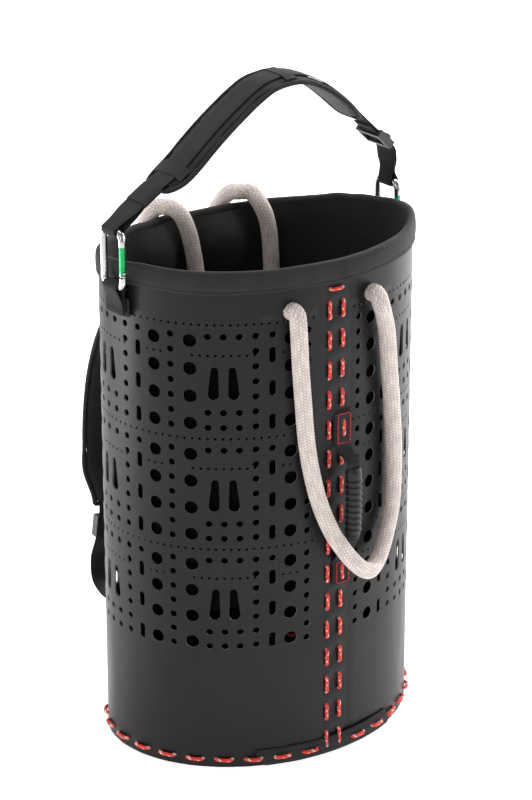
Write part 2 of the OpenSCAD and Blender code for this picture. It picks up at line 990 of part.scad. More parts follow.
module shoulder_adjuster(side) {
    y = 121.5;
    color(plastic_black)
        at_shoulder(side)
            difference() {
                translate([-web_w / 2 - 4, y - 4.5, adjuster_low_z - adjuster_h / 2])
                    cube([web_w + 8, 9, adjuster_h]);
                translate([-web_w / 2 - 0.2, y - 2.8, adjuster_low_z - adjuster_h])
                    cube([web_w + 0.4, 5.6, 2 * adjuster_h]);
            }
}

module shoulder_pad_left() {
    shoulder_pad(-1);
}

module shoulder_pad_right() {
    shoulder_pad(1);
}

module shoulder_webbing_left() {
    shoulder_webbing(-1);
}

module shoulder_webbing_right() {
    shoulder_webbing(1);
}

module shoulder_adjuster_left() {
    shoulder_adjuster(-1);
}

module shoulder_adjuster_right() {
    shoulder_adjuster(1);
}

shell();
base_plate();
collar();
lining();
front_patch();
seam_lacing_left();
seam_lacing_right();
seam_lacing_top();
base_lacing();
front_rope_ends();
front_rope_handle();
back_rope_ends();
back_rope_handle();
grip_patch_upper();
grip_patch_lower();
grip_webbing();
grip_rubber();
tab_patch_left();
tab_patch_right();
tab_loop_left();
tab_loop_right();
carabiner_left();
carabiner_right();
gate_left();
gate_right();
gate_pin_left();
gate_pin_right();
strap_webbing();
strap_pad();
strap_keeper();
strap_label();
strap_slider();
shoulder_pad_left();
shoulder_pad_right();
shoulder_webbing_left();
shoulder_webbing_right();
shoulder_adjuster_left();
shoulder_adjuster_right();
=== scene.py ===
"""Looks for the rope storage bag: perforated plastic tub, laced seam, rope handles and straps."""
import math

import bpy
import numpy as np
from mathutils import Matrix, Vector, noise
from mathutils.geometry import delaunay_2d_cdt


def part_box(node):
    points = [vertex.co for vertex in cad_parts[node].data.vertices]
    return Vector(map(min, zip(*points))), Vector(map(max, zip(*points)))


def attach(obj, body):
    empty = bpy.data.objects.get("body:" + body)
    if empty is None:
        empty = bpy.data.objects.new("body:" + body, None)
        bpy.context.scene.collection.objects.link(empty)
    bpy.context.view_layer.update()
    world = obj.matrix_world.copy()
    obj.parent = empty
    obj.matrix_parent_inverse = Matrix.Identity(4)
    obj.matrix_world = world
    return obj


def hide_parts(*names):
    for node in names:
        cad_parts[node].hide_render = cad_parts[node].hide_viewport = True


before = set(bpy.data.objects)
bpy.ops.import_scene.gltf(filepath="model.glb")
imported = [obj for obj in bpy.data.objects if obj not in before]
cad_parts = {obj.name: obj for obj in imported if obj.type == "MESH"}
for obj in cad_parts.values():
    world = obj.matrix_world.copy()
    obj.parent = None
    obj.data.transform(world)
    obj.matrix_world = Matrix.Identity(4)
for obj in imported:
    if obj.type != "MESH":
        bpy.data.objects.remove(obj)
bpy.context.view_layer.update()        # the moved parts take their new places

MM = 0.001

# ---- Sizes, from the frame ----

shell_low, shell_high = (np.array(v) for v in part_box("shell"))
HALF_W = shell_high[0]
FRONT = -shell_low[1]
BACK = 0.112
RIM_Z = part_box("collar")[1][2]
RIM_DIP = 20 * MM
DIP_FROM = -40 * MM
SHEET_T = 1.5 * MM
UNDER = 1.6 * MM
SEAM = 6.8 * MM
LACE_GAP = 14.6 * MM
LAP_IN = 17 * MM
LAP_OUT = 14.2 * MM
COLLAR_H = 20.6 * MM
COLLAR_T = 2.4 * MM
STITCH_TOP = RIM_Z - COLLAR_H - 26.4 * MM
STITCH_PITCH = 29.2 * MM
STITCH_LEN = 17 * MM
STITCHES = 16
PATCHED = (4, 9)
BASE_LACE_Z = 9 * MM
BASE_PITCH = 28.3 * MM
WEB_W = 25 * MM
WEB_T = 2 * MM
WEB_CROWN = 0.12
ROPE_D = 16 * MM
LACE_D = 4 * MM
PATCH_X = (-70 * MM, 82 * MM)


# ---- Small vector helpers ----

def unit(v):
    v = np.asarray(v, float)
    return v / np.maximum(np.linalg.norm(v, axis=-1, keepdims=True), 1e-12)


def turns(count):
    """Evenly spaced angles round a circle."""
    return np.arange(count) * 2 * math.pi / count


def smoothstep(t):
    t = np.clip(t, 0, 1)
    return t * t * (3 - 2 * t)


def wobble(x, y=0.0, z=0.0, scale=1.0):
    """Smooth repeatable noise between about -1 and 1."""
    return noise.noise(Vector((x, y, z)) * scale)


def curve(points, step):
    """A smooth line through the points, evenly spaced."""
    p = np.array(points, float)
    ends = np.vstack([2 * p[0] - p[1], p, 2 * p[-1] - p[-2]])
    line = []
    for i in range(len(p) - 1):
        a, b, c, d = ends[i:i + 4]
        for t in np.linspace(0, 1, 24, endpoint=False):
            line.append((2 * b + (c - a) * t + (2 * a - 5 * b + 4 * c - d) * t * t
                         + (3 * b - a - 3 * c + d) * t ** 3) / 2)
    line = np.array(line + [p[-1]])
    return even(line, step)


def lengths(line):
    return np.concatenate([[0], np.cumsum(np.linalg.norm(np.diff(line, axis=0), axis=1))])


def even(line, step):
    s = lengths(line)
    count = max(3, int(round(s[-1] / step)) + 1)
    t = np.linspace(0, s[-1], count)
    return np.stack([np.interp(t, s, line[:, k]) for k in range(line.shape[1])], 1)


def tangents(line, closed=False):
    if closed:
        return unit(np.roll(line, -1, 0) - np.roll(line, 1, 0))
    return unit(np.gradient(line, axis=0))


# ---- The oval and distances along it ----

DEGREES = np.radians(np.arange(-450, 271, 0.25))


def oval_at(t, off=0.0):
    depth = np.where(np.sin(t) < 0, FRONT, BACK)
    n = unit(np.stack([np.cos(t) / HALF_W, np.sin(t) / depth], -1))
    return np.stack([HALF_W * np.cos(t), depth * np.sin(t)], -1) + np.asarray(off)[..., None] * n


OVAL = oval_at(DEGREES, np.zeros(len(DEGREES)))
ARCS = lengths(OVAL)
ARCS = ARCS - np.interp(math.radians(-90), DEGREES, ARCS)
PERIMETER = np.interp(math.radians(270), DEGREES, ARCS)


def along(u, off=0.0):
    u = np.asarray(u, float)
    u = np.where(u > PERIMETER, u - PERIMETER, u)
    return oval_at(np.interp(u, ARCS, DEGREES), np.broadcast_to(off, u.shape))


def wall_y(x, depth):
    """Where the oval's outline is at a distance across; depth is -FRONT or BACK."""
    return depth * math.sqrt(1 - (x / HALF_W) ** 2)


def rim_z(y):
    return RIM_Z - np.maximum(0, y - DIP_FROM) * RIM_DIP / (BACK - DIP_FROM)


def sheet_in(u):
    return -UNDER * (1 - smoothstep((u - SEAM - LAP_OUT - 12 * MM) / (70 * MM)))


def rim_wave(x, y):
    """How far the rim stands above or below its own line: pinched and wavy towards the back."""
    back = smoothstep((y + 30 * MM) / (120 * MM))
    coarse = np.vectorize(wobble)(x, y, 0.0, 19)
    fine = np.vectorize(wobble)(x, y, 5.0, 50)
    return ((0.6 + 1.9 * back) * coarse + (0.3 + 0.9 * back) * fine - 0.9 * back) * MM


# ---- Meshes ----

SHARP_ANGLE = math.radians(40)


def add_object(name, verts, faces, mat, uv=None):
    mesh = bpy.data.meshes.new(name)
    mesh.from_pydata([tuple(v) for v in verts], [], [tuple(int(i) for i in f) for f in faces])
    mesh.materials.append(mat)
    obj = bpy.data.objects.new(name, mesh)
    bpy.context.scene.collection.objects.link(obj)
    if uv is not None:
        layer = mesh.uv_layers.new(name="UVMap")
        corner = np.empty(len(mesh.loops), np.int32)
        mesh.loops.foreach_get("vertex_index", corner)
        layer.data.foreach_set("uv", np.asarray(uv, np.float32)[corner].ravel())
    mesh.shade_smooth()
    mesh.set_sharp_from_angle(angle=SHARP_ANGLE)
    return obj


def coords_of(mesh):
    co = np.empty(len(mesh.vertices) * 3)
    mesh.vertices.foreach_get("co", co)
    return co.reshape(-1, 3)


def second_material(obj, mat, marked):
    """Gives the marked faces a material of their own."""
    obj.data.materials.append(mat)
    obj.data.polygons.foreach_set("material_index", np.asarray(marked, np.int32))


def paint(obj, tones):
    """A grey or colour value for each vertex, read by the materials."""
    layer = obj.data.color_attributes.new("tone", "FLOAT_COLOR", "POINT")
    tones = np.asarray(tones, np.float32)
    if tones.ndim == 1:
        tones = np.repeat(tones[:, None], 3, 1)
    layer.data.foreach_set("color", np.hstack([tones, np.ones((len(tones), 1), np.float32)]).ravel())


def grid_faces(rows, cols, wrap_rows=False):
    """Quads between rings of points; wrap_rows joins the last ring to the first."""
    r = np.arange(rows if wrap_rows else rows - 1)
    r, c = (a.ravel() for a in np.meshgrid(r, np.arange(cols), indexing="ij"))
    r2, c2 = (r + 1) % rows, (c + 1) % cols
    return np.stack([r * cols + c, r * cols + c2, r2 * cols + c2, r2 * cols + c], 1)


def loft(name, rings, mat, closed=False):
    """Skins rings of points, shape (rings, points, 3); its ends are capped unless it is closed."""
    rings = np.asarray(rings, float)
    rows, cols = rings.shape[:2]
    faces = [tuple(f) for f in grid_faces(rows, cols, closed)]
    if not closed:
        faces.append(tuple(range(cols - 1, -1, -1)))
        faces.append(tuple((rows - 1) * cols + k for k in range(cols)))
    around = lengths(np.vstack([rings[0], rings[0][:1]]))[:cols]
    down = lengths(rings.mean(1))
    uv = np.stack([np.tile(around, rows), np.repeat(down, cols)], 1)
    return add_object(name, rings.reshape(-1, 3), faces, mat, uv)


def frames(line, side, closed=False):
    """Two directions across the line at each point; side is one that it never runs along."""
    t = tangents(line, closed)
    a = unit(np.cross(t, np.broadcast_to(side, t.shape)))
    return a, np.cross(t, a)


def flat_section(thick):
    """The cross section of webbing one unit wide: rounded edges, and a slight crown on each face."""
    across = np.linspace(-1, 1, 13)
    half = thick / 2 * (1 - np.abs(across) ** 10 * 0.65) * (1 + WEB_CROWN * (1 - across ** 2))
    top = np.stack([across / 2, half], 1)
    return np.vstack([top, (top * [1, -1])[::-1]])


def joined(name, objects):
    """Several meshes as one object."""
    verts, faces, uvs, count = [], [], [], 0
    for o in objects:
        m = o.data
        uv = np.zeros((len(m.vertices), 2))
        if m.uv_layers:
            flat = np.empty(len(m.loops) * 2)
            m.uv_layers[0].data.foreach_get("uv", flat)
            corner = np.empty(len(m.loops), np.int32)
            m.loops.foreach_get("vertex_index", corner)
            uv[corner] = flat.reshape(-1, 2)
        verts.append(coords_of(m))
        uvs.append(uv)
        faces += [tuple(i + count for i in p.vertices) for p in m.polygons]
        count += len(m.vertices)
    mat = objects[0].data.materials[0]
    for o in objects:
        bpy.data.objects.remove(o)
    return add_object(name, np.vstack(verts), faces, mat, np.vstack(uvs))


def stitches(name, line, normal, mat, length, gap, r=0.3 * MM):
    """A row of small thread stitches lying on a surface; normal has one direction per point."""
    s = lengths(line)
    starts = np.arange(gap, s[-1] - length, length + gap)
    at = lambda v, q: np.array([np.interp(q, s, v[:, k]) for k in range(3)])
    verts, faces = [], []
    rise = np.array([-0.5, 0.55, 0.8, 0.55, -0.5]) * r
    width = np.array([0.6, 1, 1, 1, 0.6]) * r
    for q in starts:
        base = len(verts)
        along_it = unit(at(line, q + length) - at(line, q))
        for j in range(5):
            n = unit(at(normal, q + length * j / 4))
            c = at(line, q + length * j / 4) + n * rise[j]
            b = np.cross(along_it, n)
            verts += [c + width[j] * (math.cos(w) * n + math.sin(w) * b) for w in turns(6)]
        faces += [tuple(base + f) for f in grid_faces(5, 6)]
    return add_object(name, np.array(verts), faces, mat)


# ---- Materials ----

class Nodes:
    """A short way to write a node material."""

    def __init__(self, name):
        self.mat = bpy.data.materials.new(name)
        self.mat.use_nodes = True
        self.tree = self.mat.node_tree
        self.shader = self.tree.nodes["Principled BSDF"]
        self.coords = self.tree.nodes.new("ShaderNodeTexCoord")

    def add(self, kind, **settings):
        node = self.tree.nodes.new("ShaderNode" + kind)
        for key, value in settings.items():
            setattr(node, key, value)
        return node

    def feed(self, node, socket, value):
        if isinstance(value, bpy.types.NodeSocket):
            self.tree.links.new(value, node.inputs[socket])
        else:
            node.inputs[socket].default_value = value

    def math(self, operation, a, b=0.0):
        node = self.add("Math", operation=operation)
        self.feed(node, 0, a)
        self.feed(node, 1, b)
        return node.outputs[0]

    def noise(self, scale, detail, stretch=(1, 1, 1)):
        mapping = self.add("Mapping")
        self.feed(mapping, "Vector", self.coords.outputs["Object"])
        self.feed(mapping, "Scale", tuple(scale * s for s in stretch))
        node = self.add("TexNoise")
        self.feed(node, "Vector", mapping.outputs[0])
        self.feed(node, "Scale", 1.0)
        self.feed(node, "Detail", detail)
        return node.outputs["Fac"]

    def cells(self, scale):
        node = self.add("TexVoronoi")
        self.feed(node, "Vector", self.coords.outputs["Object"])
        self.feed(node, "Scale", scale)
        return node.outputs["Distance"]

    def ridges(self, axis, pitch, source="UV"):
        """A sine wave across one axis, from 0 to 1, with its pitch in metres."""
        split = self.add("SeparateXYZ")
        self.feed(split, 0, self.coords.outputs[source])
        wave = self.math("SINE", self.math("MULTIPLY", split.outputs[axis], 2 * math.pi / pitch))
        return self.math("MULTIPLY_ADD", wave, 0.5)

    def ramp(self, fac, stops):
        node = self.add("ValToRGB")
        self.feed(node, "Fac", fac)
        ramp = node.color_ramp
        while len(ramp.elements) < len(stops):
            ramp.elements.new(0.5)
        for element, (place, colour) in zip(ramp.elements, stops):
            element.position = place
            element.color = (*colour, 1)
        return node.outputs["Color"]

    def mix(self, fac, a, b):
        node = self.add("Mix", data_type="RGBA")
        self.feed(node, "Factor", fac)
        for socket, value in (("A", a), ("B", b)):
            place = [i for i in node.inputs if i.name == socket and i.type == "RGBA"][0]
            if isinstance(value, bpy.types.NodeSocket):
                self.tree.links.new(value, place)
            else:
                place.default_value = (*value, 1)
        return [o for o in node.outputs if o.type == "RGBA"][0]

    def span(self, fac, low, high):
        node = self.add("MapRange")
        self.feed(node, "Value", fac)
        self.feed(node, "To Min", low)
        self.feed(node, "To Max", high)
        return node.outputs[0]

    def tone(self):
        node = self.add("Attribute", attribute_name="tone")
        return node.outputs["Color"]

    def bump(self, height, strength, distance, before=None):
        node = self.add("Bump")
        self.feed(node, "Height", height)
        self.feed(node, "Strength", strength)
        self.feed(node, "Distance", distance)
        if before is not None:
            self.feed(node, "Normal", before)
        return node.outputs[0]

    def finish(self, **sockets):
        for key, value in sockets.items():
            self.feed(self.shader, key.replace("_", " "), value)
        return self.mat


def plastic_sheet():
    n = Nodes("sheet_plastic")
    cloud = n.noise(9, 4)
    scuff = n.noise(60, 5, stretch=(1, 1, 0.12))
    colour = n.ramp(cloud, [(0.3, (0.0042, 0.0034, 0.0034)), (0.7, (0.0082, 0.0068, 0.0067))])
    colour = n.mix(n.span(scuff, -0.6, 0.35), colour, (0.014, 0.0125, 0.0125))
    grain = n.bump(n.noise(2600, 2), 0.12, 0.0001)
    ripple = n.bump(n.noise(16, 2), 0.25, 0.004, grain)
    return n.finish(Base_Color=colour, Roughness=n.span(scuff, 0.30, 0.50), Normal=ripple,
                    Specular_IOR_Level=0.24)


def hard(name, mottle, stops, gloss, grain, **extra):
    """A smooth hard surface: mottle is (scale, detail), gloss is (scale, low, high) and grain is
    (scale, detail, strength, depth)."""
    n = Nodes(name)
    return n.finish(Base_Color=n.ramp(n.noise(*mottle), stops),
                    Roughness=n.span(n.noise(gloss[0], 3), *gloss[1:]),
                    Normal=n.bump(n.noise(*grain[:2]), *grain[2:]), **extra)


def woven(name, dark, light, across, down, depth, sheen=0.06, rough=0.8, specular=0.25):
    """A plain weave with its two pitches in metres, and faint wear; a painted highlight on the crowns of the
    threads leaves painted shade in the hollows.
    """
    n = Nodes(name)
    warp = n.ridges(0, across)
    weft = n.ridges(1, down)
    height = n.math("MAXIMUM", n.math("MULTIPLY", warp, 0.8), weft)
    wear = n.noise(55, 5)
    colour = n.mix(n.span(wear, -0.4, 1.2), dark, light)
    # Painted light: the colour follows the weave's relief, painted highlight on the crowns and painted shade
    # in the hollows
    colour = n.mix(n.math("MULTIPLY", height, 0.35), colour, tuple(1.7 * c for c in light))
    fibre = n.bump(n.noise(3000, 2), 0.25, 0.0002)
    return n.finish(Base_Color=colour, Roughness=rough, Sheen_Weight=sheen, Sheen_Roughness=0.45,
                    Specular_IOR_Level=specular, Normal=n.bump(height, 0.7, depth, fibre))


PACK_WEAVE = 1.3 * MM


def pack_cloth(name, dark, light):
    """A textured cloth for shapes without their own grid: a fine three-way weave in space."""
    n = Nodes(name)
    a, b, c = (n.ridges(axis, PACK_WEAVE, "Object") for axis in range(3))
    height = n.math("ADD", n.math("ADD", a, b), c)
    colour = n.mix(n.span(n.noise(40, 5), -0.3, 1.2), dark, light)
    fibre = n.bump(n.noise(2600, 3), 0.3, 0.0003)
    soft = n.bump(n.noise(90, 3), 0.25, 0.0012, fibre)
    return n.finish(Base_Color=colour, Roughness=0.86, Sheen_Weight=0.06, Sheen_Roughness=0.5,
                    Specular_IOR_Level=0.25, Normal=n.bump(height, 0.35, 0.0002, soft))


def air_mesh():
    n = Nodes("air_mesh")
    hole = n.cells(430)
    colour = n.ramp(hole, [(0.18, (0.012, 0.012, 0.013)), (0.5, (0.11, 0.107, 0.11))])
    return n.finish(Base_Color=colour, Roughness=0.9, Normal=n.bump(hole, 0.8, 0.0006), Sheen_Weight=0.05)


def braid_material(name, dirt, rough, fuzz):
    """For braided cords: the tone painted on the mesh, which holds painted shade in the hollows between
    strands, with random dirt spots and fine fibres.
    """
    n = Nodes(name)
    spots = n.noise(160, 5)
    colour = n.mix(n.span(spots, -0.3, 0.4), n.tone(), dirt)
    fibre = n.bump(n.noise(2400, 3, stretch=(1, 1, 0.4)), 0.45, 0.0003)
    return n.finish(Base_Color=colour, Roughness=rough, Sheen_Weight=fuzz, Sheen_Roughness=0.5, Normal=fibre)


def polished():
    n = Nodes("polished_alloy")
    scratch = n.noise(700, 4, stretch=(1, 1, 0.08))
    colour = n.ramp(n.noise(60, 3), [(0.3, (0.36, 0.365, 0.375)), (0.7, (0.56, 0.56, 0.575))])
    return n.finish(Base_Color=colour, Metallic=1.0, Roughness=n.span(scratch, 0.08, 0.24),
                    Normal=n.bump(scratch, 0.08, 0.0001))


def thread(name, colour):
    n = Nodes(name)
    shade = n.mix(n.span(n.noise(800, 3), 0.0, 0.6), colour, tuple(0.55 * c for c in colour))
    return n.finish(Base_Color=shade, Roughness=0.6, Normal=n.bump(n.noise(2500, 2), 0.3, 0.0002))


def paper_floor():
    """Pale paper with a glow of its own, as though lit from below, so that shadows on it stay faint."""
    n = Nodes("studio_floor")
    colour = n.ramp(n.noise(3, 2), [(0.3, (0.93, 0.93, 0.94)), (0.7, (0.96, 0.96, 0.97))])
    return n.finish(Base_Color=colour, Roughness=0.9, Specular_IOR_Level=0.1, Emission_Color=colour,
                    Emission_Strength=0.62)


SHEET = plastic_sheet()
# The cut edges of the sheet, glossier than its faces and painted paler: a painted highlight where the rims
# catch the light
CUT_EDGE_HIGHLIGHT = hard("cut_edge_painted_highlight", (150, 3), [(0.3, (0.10, 0.095, 0.09)), (0.7, (0.2, 0.19, 0.185))],
                (300, 0.25, 0.4), (2000, 2, 0.1, 0.0001))
MOULDED = hard("moulded_plastic", (120, 4), [(0.3, (0.010, 0.010, 0.011)), (0.75, (0.021, 0.021, 0.022))],
               (300, 0.34, 0.52), (2200, 2, 0.25, 0.0001))
COLLAR_CLOTH = woven("collar_cloth", (0.010, 0.010, 0.011), (0.021, 0.021, 0.022), 0.0011, 0.0011, 0.0002)
LINING = woven("lining_cloth", (0.011, 0.0095, 0.0095), (0.018, 0.016, 0.0155), 0.0012, 0.0012, 0.00015)
# The liner's outer face, seen through the holes: the lining painted near black with no sheen, as painted
# shade behind the sheet
LINING_BACK_PAINTED_SHADE = woven("lining_back_painted_shade", (0.0015, 0.0014, 0.0014), (0.003, 0.0028, 0.0027), 0.0012, 0.0012, 0.00015,
                    0, 0.9, 0.05)
WEBBING = woven("webbing", (0.009, 0.009, 0.010), (0.019, 0.019, 0.021), 0.0021, 0.0012, 0.00035)
PAD_CLOTH = pack_cloth("pad_cloth", (0.011, 0.011, 0.0125), (0.022, 0.022, 0.0245))
AIR_MESH = air_mesh()
LACE = braid_material("lace_braid", (0.34, 0.012, 0.01), 0.62, 0.05)
ROPE = braid_material("rope_braid", (0.24, 0.195, 0.175), 0.85, 0.12)
RUBBER = hard("grip_rubber_surface", (90, 4), [(0.3, (0.006, 0.006, 0.0065)), (0.8, (0.014, 0.0135, 0.014))],
              (400, 0.36, 0.55), (1800, 3, 0.3, 0.0002), Specular_IOR_Level=0.35)
ALLOY = polished()
GREEN = hard("green_anodised", (140, 3), [(0.3, (0.010, 0.27, 0.075)), (0.75, (0.03, 0.42, 0.13))],
             (500, 0.2, 0.36), (1500, 2, 0.1, 0.0001), Metallic=0.75)
RED_THREAD = thread("red_thread", (0.62, 0.02, 0.03))
BLACK_THREAD = thread("black_thread", (0.030, 0.030, 0.032))
LABEL_CLOTH = woven("label_cloth", (0.70, 0.70, 0.69), (0.86, 0.86, 0.84), 0.0008, 0.0008, 0.0001)


# ---- Camera, floor and light ----

CAMERA_PLACE = (-1.3917, -2.2207, 1.4243)
CAMERA_DOWN, CAMERA_LEFT = math.radians(22.832), math.radians(32.292)
CAMERA_LENS, CAMERA_SENSOR = 134.95, 36


def place_camera():
    """The view of the photograph: left of the front and a little above."""
    data = bpy.data.cameras.new("camera")
    data.lens = CAMERA_LENS
    data.sensor_width = CAMERA_SENSOR
    camera = bpy.data.objects.new("camera", data)
    camera.location = CAMERA_PLACE
    camera.rotation_euler = (math.pi / 2 - CAMERA_DOWN, 0, -CAMERA_LEFT)
    bpy.context.scene.collection.objects.link(camera)
    bpy.context.scene.camera = camera


def area_light(name, place, target, size, power):
    data = bpy.data.lights.new(name, "AREA")
    data.shape = "RECTANGLE"
    data.size, data.size_y = size
    data.energy = power
    light = bpy.data.objects.new(name, data)
    light.location = place
    light.rotation_euler = (Vector(target) - Vector(place)).to_track_quat("-Z", "Y").to_euler()
    bpy.context.scene.collection.objects.link(light)


def studio():
    corners = [(-9, -9, 0), (9, -9, 0), (9, 9, 0), (-9, 9, 0)]
    floor = add_object("floor", corners, [(0, 1, 2, 3)], paper_floor())
    world = bpy.data.worlds.new("studio")
    world.use_nodes = True
    world.node_tree.nodes["Background"].inputs["Color"].default_value = (1, 1, 1, 1)
    world.node_tree.nodes["Background"].inputs["Strength"].default_value = 0.36
    bpy.context.scene.world = world
    area_light("left_back", (-2.2, 0.5, 1.1), (0, 0, 0.3), (0.8, 2.0), 7)
    area_light("left_low", (-1.0, 0.62, 0.12), (-0.1, 0, 0.44), (0.5, 0.3), 5)
    area_light("left_front", (-1.9, -1.1, 1.3), (0, 0, 0.35), (0.35, 1.5), 9)
    area_light("right_back", (2.2, 0.9, 1.0), (0, 0, 0.3), (1.4, 2.0), 75)
    area_light("right_front", (1.9, -1.6, 1.1), (0, 0, 0.3), (0.9, 1.6), 24)
    area_light("top", (0.2, 0.5, 2.2), (0, 0, 0.4), (1.8, 1.6), 34)
    bpy.context.scene.view_settings.view_transform = "Standard"


place_camera()


def place(piece, body, slot, *nodes):
    """Rides on a body and stands for the CAD nodes, which it hides; slot is not used."""
    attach(piece, body)
    if nodes:
        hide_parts(*nodes)
    return piece


# ---- Braided cords ----

def braid(name, line, r, side, strands, pitch, mat, colours, tracer, sides, step, relief, closed=False):
    """A braided cord with real relief: strands wind both ways, each passing over two and under two.
    The strands listed in tracer take the second colour."""
    line = even(line, step)
    if closed:
        line = line[:-1]
    a, b = frames(line, side, closed)
    rows = len(line)
    turn, down = np.meshgrid(np.arange(sides) / sides, lengths(line)[:rows], indexing="xy")
    twist = down / pitch * strands
    s1 = turn * strands + twist
    s2 = turn * strands - twist
    i, j = np.floor(s1), np.floor(s2)
    over = (i + j) % 4 < 2
    across = np.where(over, s1 - i, s2 - j)
    lengthwise = np.where(over, s2 - j + (i + j) % 2, s1 - i + (i + j) % 2) / 2
    crown = np.sqrt(np.clip(1 - (2 * across - 1) ** 2, 0, 1)) * (0.55 + 0.45 * np.sin(math.pi * lengthwise))
    radius = r * (1 - relief + relief * crown)
    w = turn * 2 * math.pi
    rings = (line[:, None, :] + (radius * np.cos(w))[..., None] * a[:, None, :]
             + (radius * np.sin(w))[..., None] * b[:, None, :])
    obj = loft(name, rings, mat, closed)
    number = np.where(over, i % strands, strands + j % strands)
    light = 0.92 + 0.16 * np.sin(number * 12.9898) ** 2
    # Painted shade: each strand darker at its edges, where it dives under, and in the hollows between
    # strands; lighter on its crown
    shade = (0.22 + 0.78 * crown) * light
    tone = np.array(colours[0])[None, None, :] * shade[..., None]
    if tracer:
        marked = np.isin(number, tracer)
        tone = np.where(marked[..., None], np.array(colours[1])[None, None, :] * shade[..., None], tone)
    paint(obj, tone.reshape(-1, 3))
    return obj


ROPE_COLOURS = ((0.86, 0.745, 0.69),)
ROPE_STRANDS, ROPE_LAY, ROPE_RELIEF = 16, 50 * MM, 0.07
LACE_COLOURS = ((1.0, 0.05, 0.028), (1.0, 0.80, 0.66))
LACE_STRANDS, LACE_LAY, LACE_RELIEF = 6, 13 * MM, 0.18
LACE_TRACER = (1, 8)

# The front handle's hanging loop, from one hole round to the other, in metres
FRONT_ROPE = np.array([
    (-38, -131, 458), (-38, -133, 448), (-37, -133, 433), (-35, -132.5, 405), (-32, -132.5, 370),
    (-29, -133, 335), (-24, -134, 303), (-17, -136.5, 272), (-8, -142.5, 244), (2, -151, 223),
    (14, -154.5, 207), (27, -152, 197), (41, -142, 194), (54, -133, 200), (66, -125.5, 217),
    (74, -121.5, 240), (77, -120, 268), (76, -120.5, 305), (72, -122, 348), (67, -124.5, 384),
    (62, -127, 420), (56, -130, 440), (52, -132, 449), (50, -131, 458)]) * MM

# The back handle's loop, hung over the rim into the bag, in metres
BACK_ROPE = np.array([
    (-36, 107, 490), (-30, 100, 489.5), (-24, 93, 482), (-18, 91, 466), (-13, 91, 445), (-9, 91, 420),
    (-5, 90, 393), (0, 89, 360), (7, 88, 332), (17, 86, 311), (30, 84, 301), (43, 82.5, 301),
    (54, 81.5, 310), (62, 80.5, 328), (66, 80, 358), (68, 79.5, 400), (67.5, 80, 435), (65, 80.5, 460),
    (60, 83, 478), (55, 93.5, 490.5), (50, 101.5, 491), (46, 107, 490)]) * MM

# The back handle's legs, out of their holes and up to the rim, in metres
BACK_LEGS = [np.array(p) * MM for p in (
    [(-56, 94, 446), (-56, 106, 446), (-56, 114, 448), (-54, 118.5, 457), (-49, 119.5, 470),
     (-44, 117.5, 481), (-40, 112.5, 488), (-36, 107, 490)],
    [(28, 99, 446), (28, 111, 446), (28, 119, 448), (30, 123.5, 457), (34, 124, 470), (39, 120, 481),
     (42.5, 113.5, 488), (46, 107, 490)])]


def rope_piece(name, line, side=(0, 1, 0), r=ROPE_D / 2):
    return braid(name, line, r, side, ROPE_STRANDS, ROPE_LAY, ROPE, ROPE_COLOURS, (), 80, 0.8 * MM,
                 ROPE_RELIEF)


def rope_loop(name, node, points, body, exit_point):
    line = curve(points, 2 * MM)
    piece = place(rope_piece(name, line), body, "rope", node)
    float(lengths(line)[-1])


KNOT_ROPE_R = 6.2 * MM
KNOT_DEPTH = 12.6 * MM


def knot(name, centre, outward):
    """A stopper knot: the rope wound round itself twice, with a short tail."""
    t = np.linspace(0, 1, 60)
    w = t * 2 * math.pi * 2.1
    r = 5.5 * MM * np.sin(math.pi * np.clip(t, 0.12, 0.88)) + 2 * MM
    y = np.array(outward)
    line = (np.array(centre) + (r * np.cos(w))[:, None] * np.array([1, 0, 0])
            + (r * np.sin(w))[:, None] * np.array([0, 0, 1]) + ((0.5 - t) * 5 * MM)[:, None] * -y)
    return rope_piece(name, line, (0, 1, 0), KNOT_ROPE_R)


def ropes():
    exits = [FRONT_ROPE[0], FRONT_ROPE[-1]]
    # The visible loop starts just inside each hole and bends down over its edge
    bend_in = [e + np.array([0, dy, dz]) * MM for e in exits for dy, dz in ((9, 1.5), (4, 1.5))]
    points = np.vstack([bend_in[:2], FRONT_ROPE[:1] + [0, -0.5 * MM, -1.5 * MM], FRONT_ROPE[1:-1],
                        FRONT_ROPE[-1:] + [0, -0.5 * MM, -1.5 * MM], bend_in[2:][::-1]])
    rope_loop("front_rope_loop", "front_rope_handle", points, "front_rope", tuple(bend_in[0]))
    rope_loop("back_rope_loop", "back_rope_handle", BACK_ROPE, "back_rope", tuple(BACK_ROPE[0]))
    ends = []
    for k, e in enumerate(exits):
        wall = wall_y(e[0], -FRONT)
        ends.append(rope_piece(f"front_rope_stub_{k}", np.linspace(e + [0, 5 * MM, 0.5 * MM],
                    (e[0], wall + 9 * MM, e[2]), 20), (0, 0, 1)))
        ends.append(knot(f"front_rope_knot_{k}", (e[0], wall + KNOT_DEPTH, e[2]), (0, -1, 0)))
    for k, leg in enumerate(BACK_LEGS):
        wall = wall_y(leg[0][0], BACK)
        leg[0][1] = wall - 9 * MM
        # Each leg runs a little way into the loop, so that no gap opens between them
        on = unit(BACK_ROPE[(1, -2)[k]] - leg[-1])
        line = curve(np.vstack([leg, leg[-1:] + 3 * MM * on]), 2 * MM)
        ends.append(rope_piece(f"back_rope_leg_{k}", line, (1, 0, 0)))
        ends.append(knot(f"back_rope_knot_{k}", (leg[0][0], wall - KNOT_DEPTH, leg[0][2]), (0, 1, 0)))
    for piece in ends:
        place(piece, "bag", "rope", "front_rope_ends" if "front" in piece.name else "back_rope_ends")


ropes()


# ---- The perforated sheet ----

HOLE_PITCH = 128 * MM / 18
BLOCK_W = 128 * MM
BLOCK_H = 110.7 * MM
FIRST_U = 19.65 * MM
ROW_Z = RIM_Z - 50.6 * MM
BLOCKS = 3
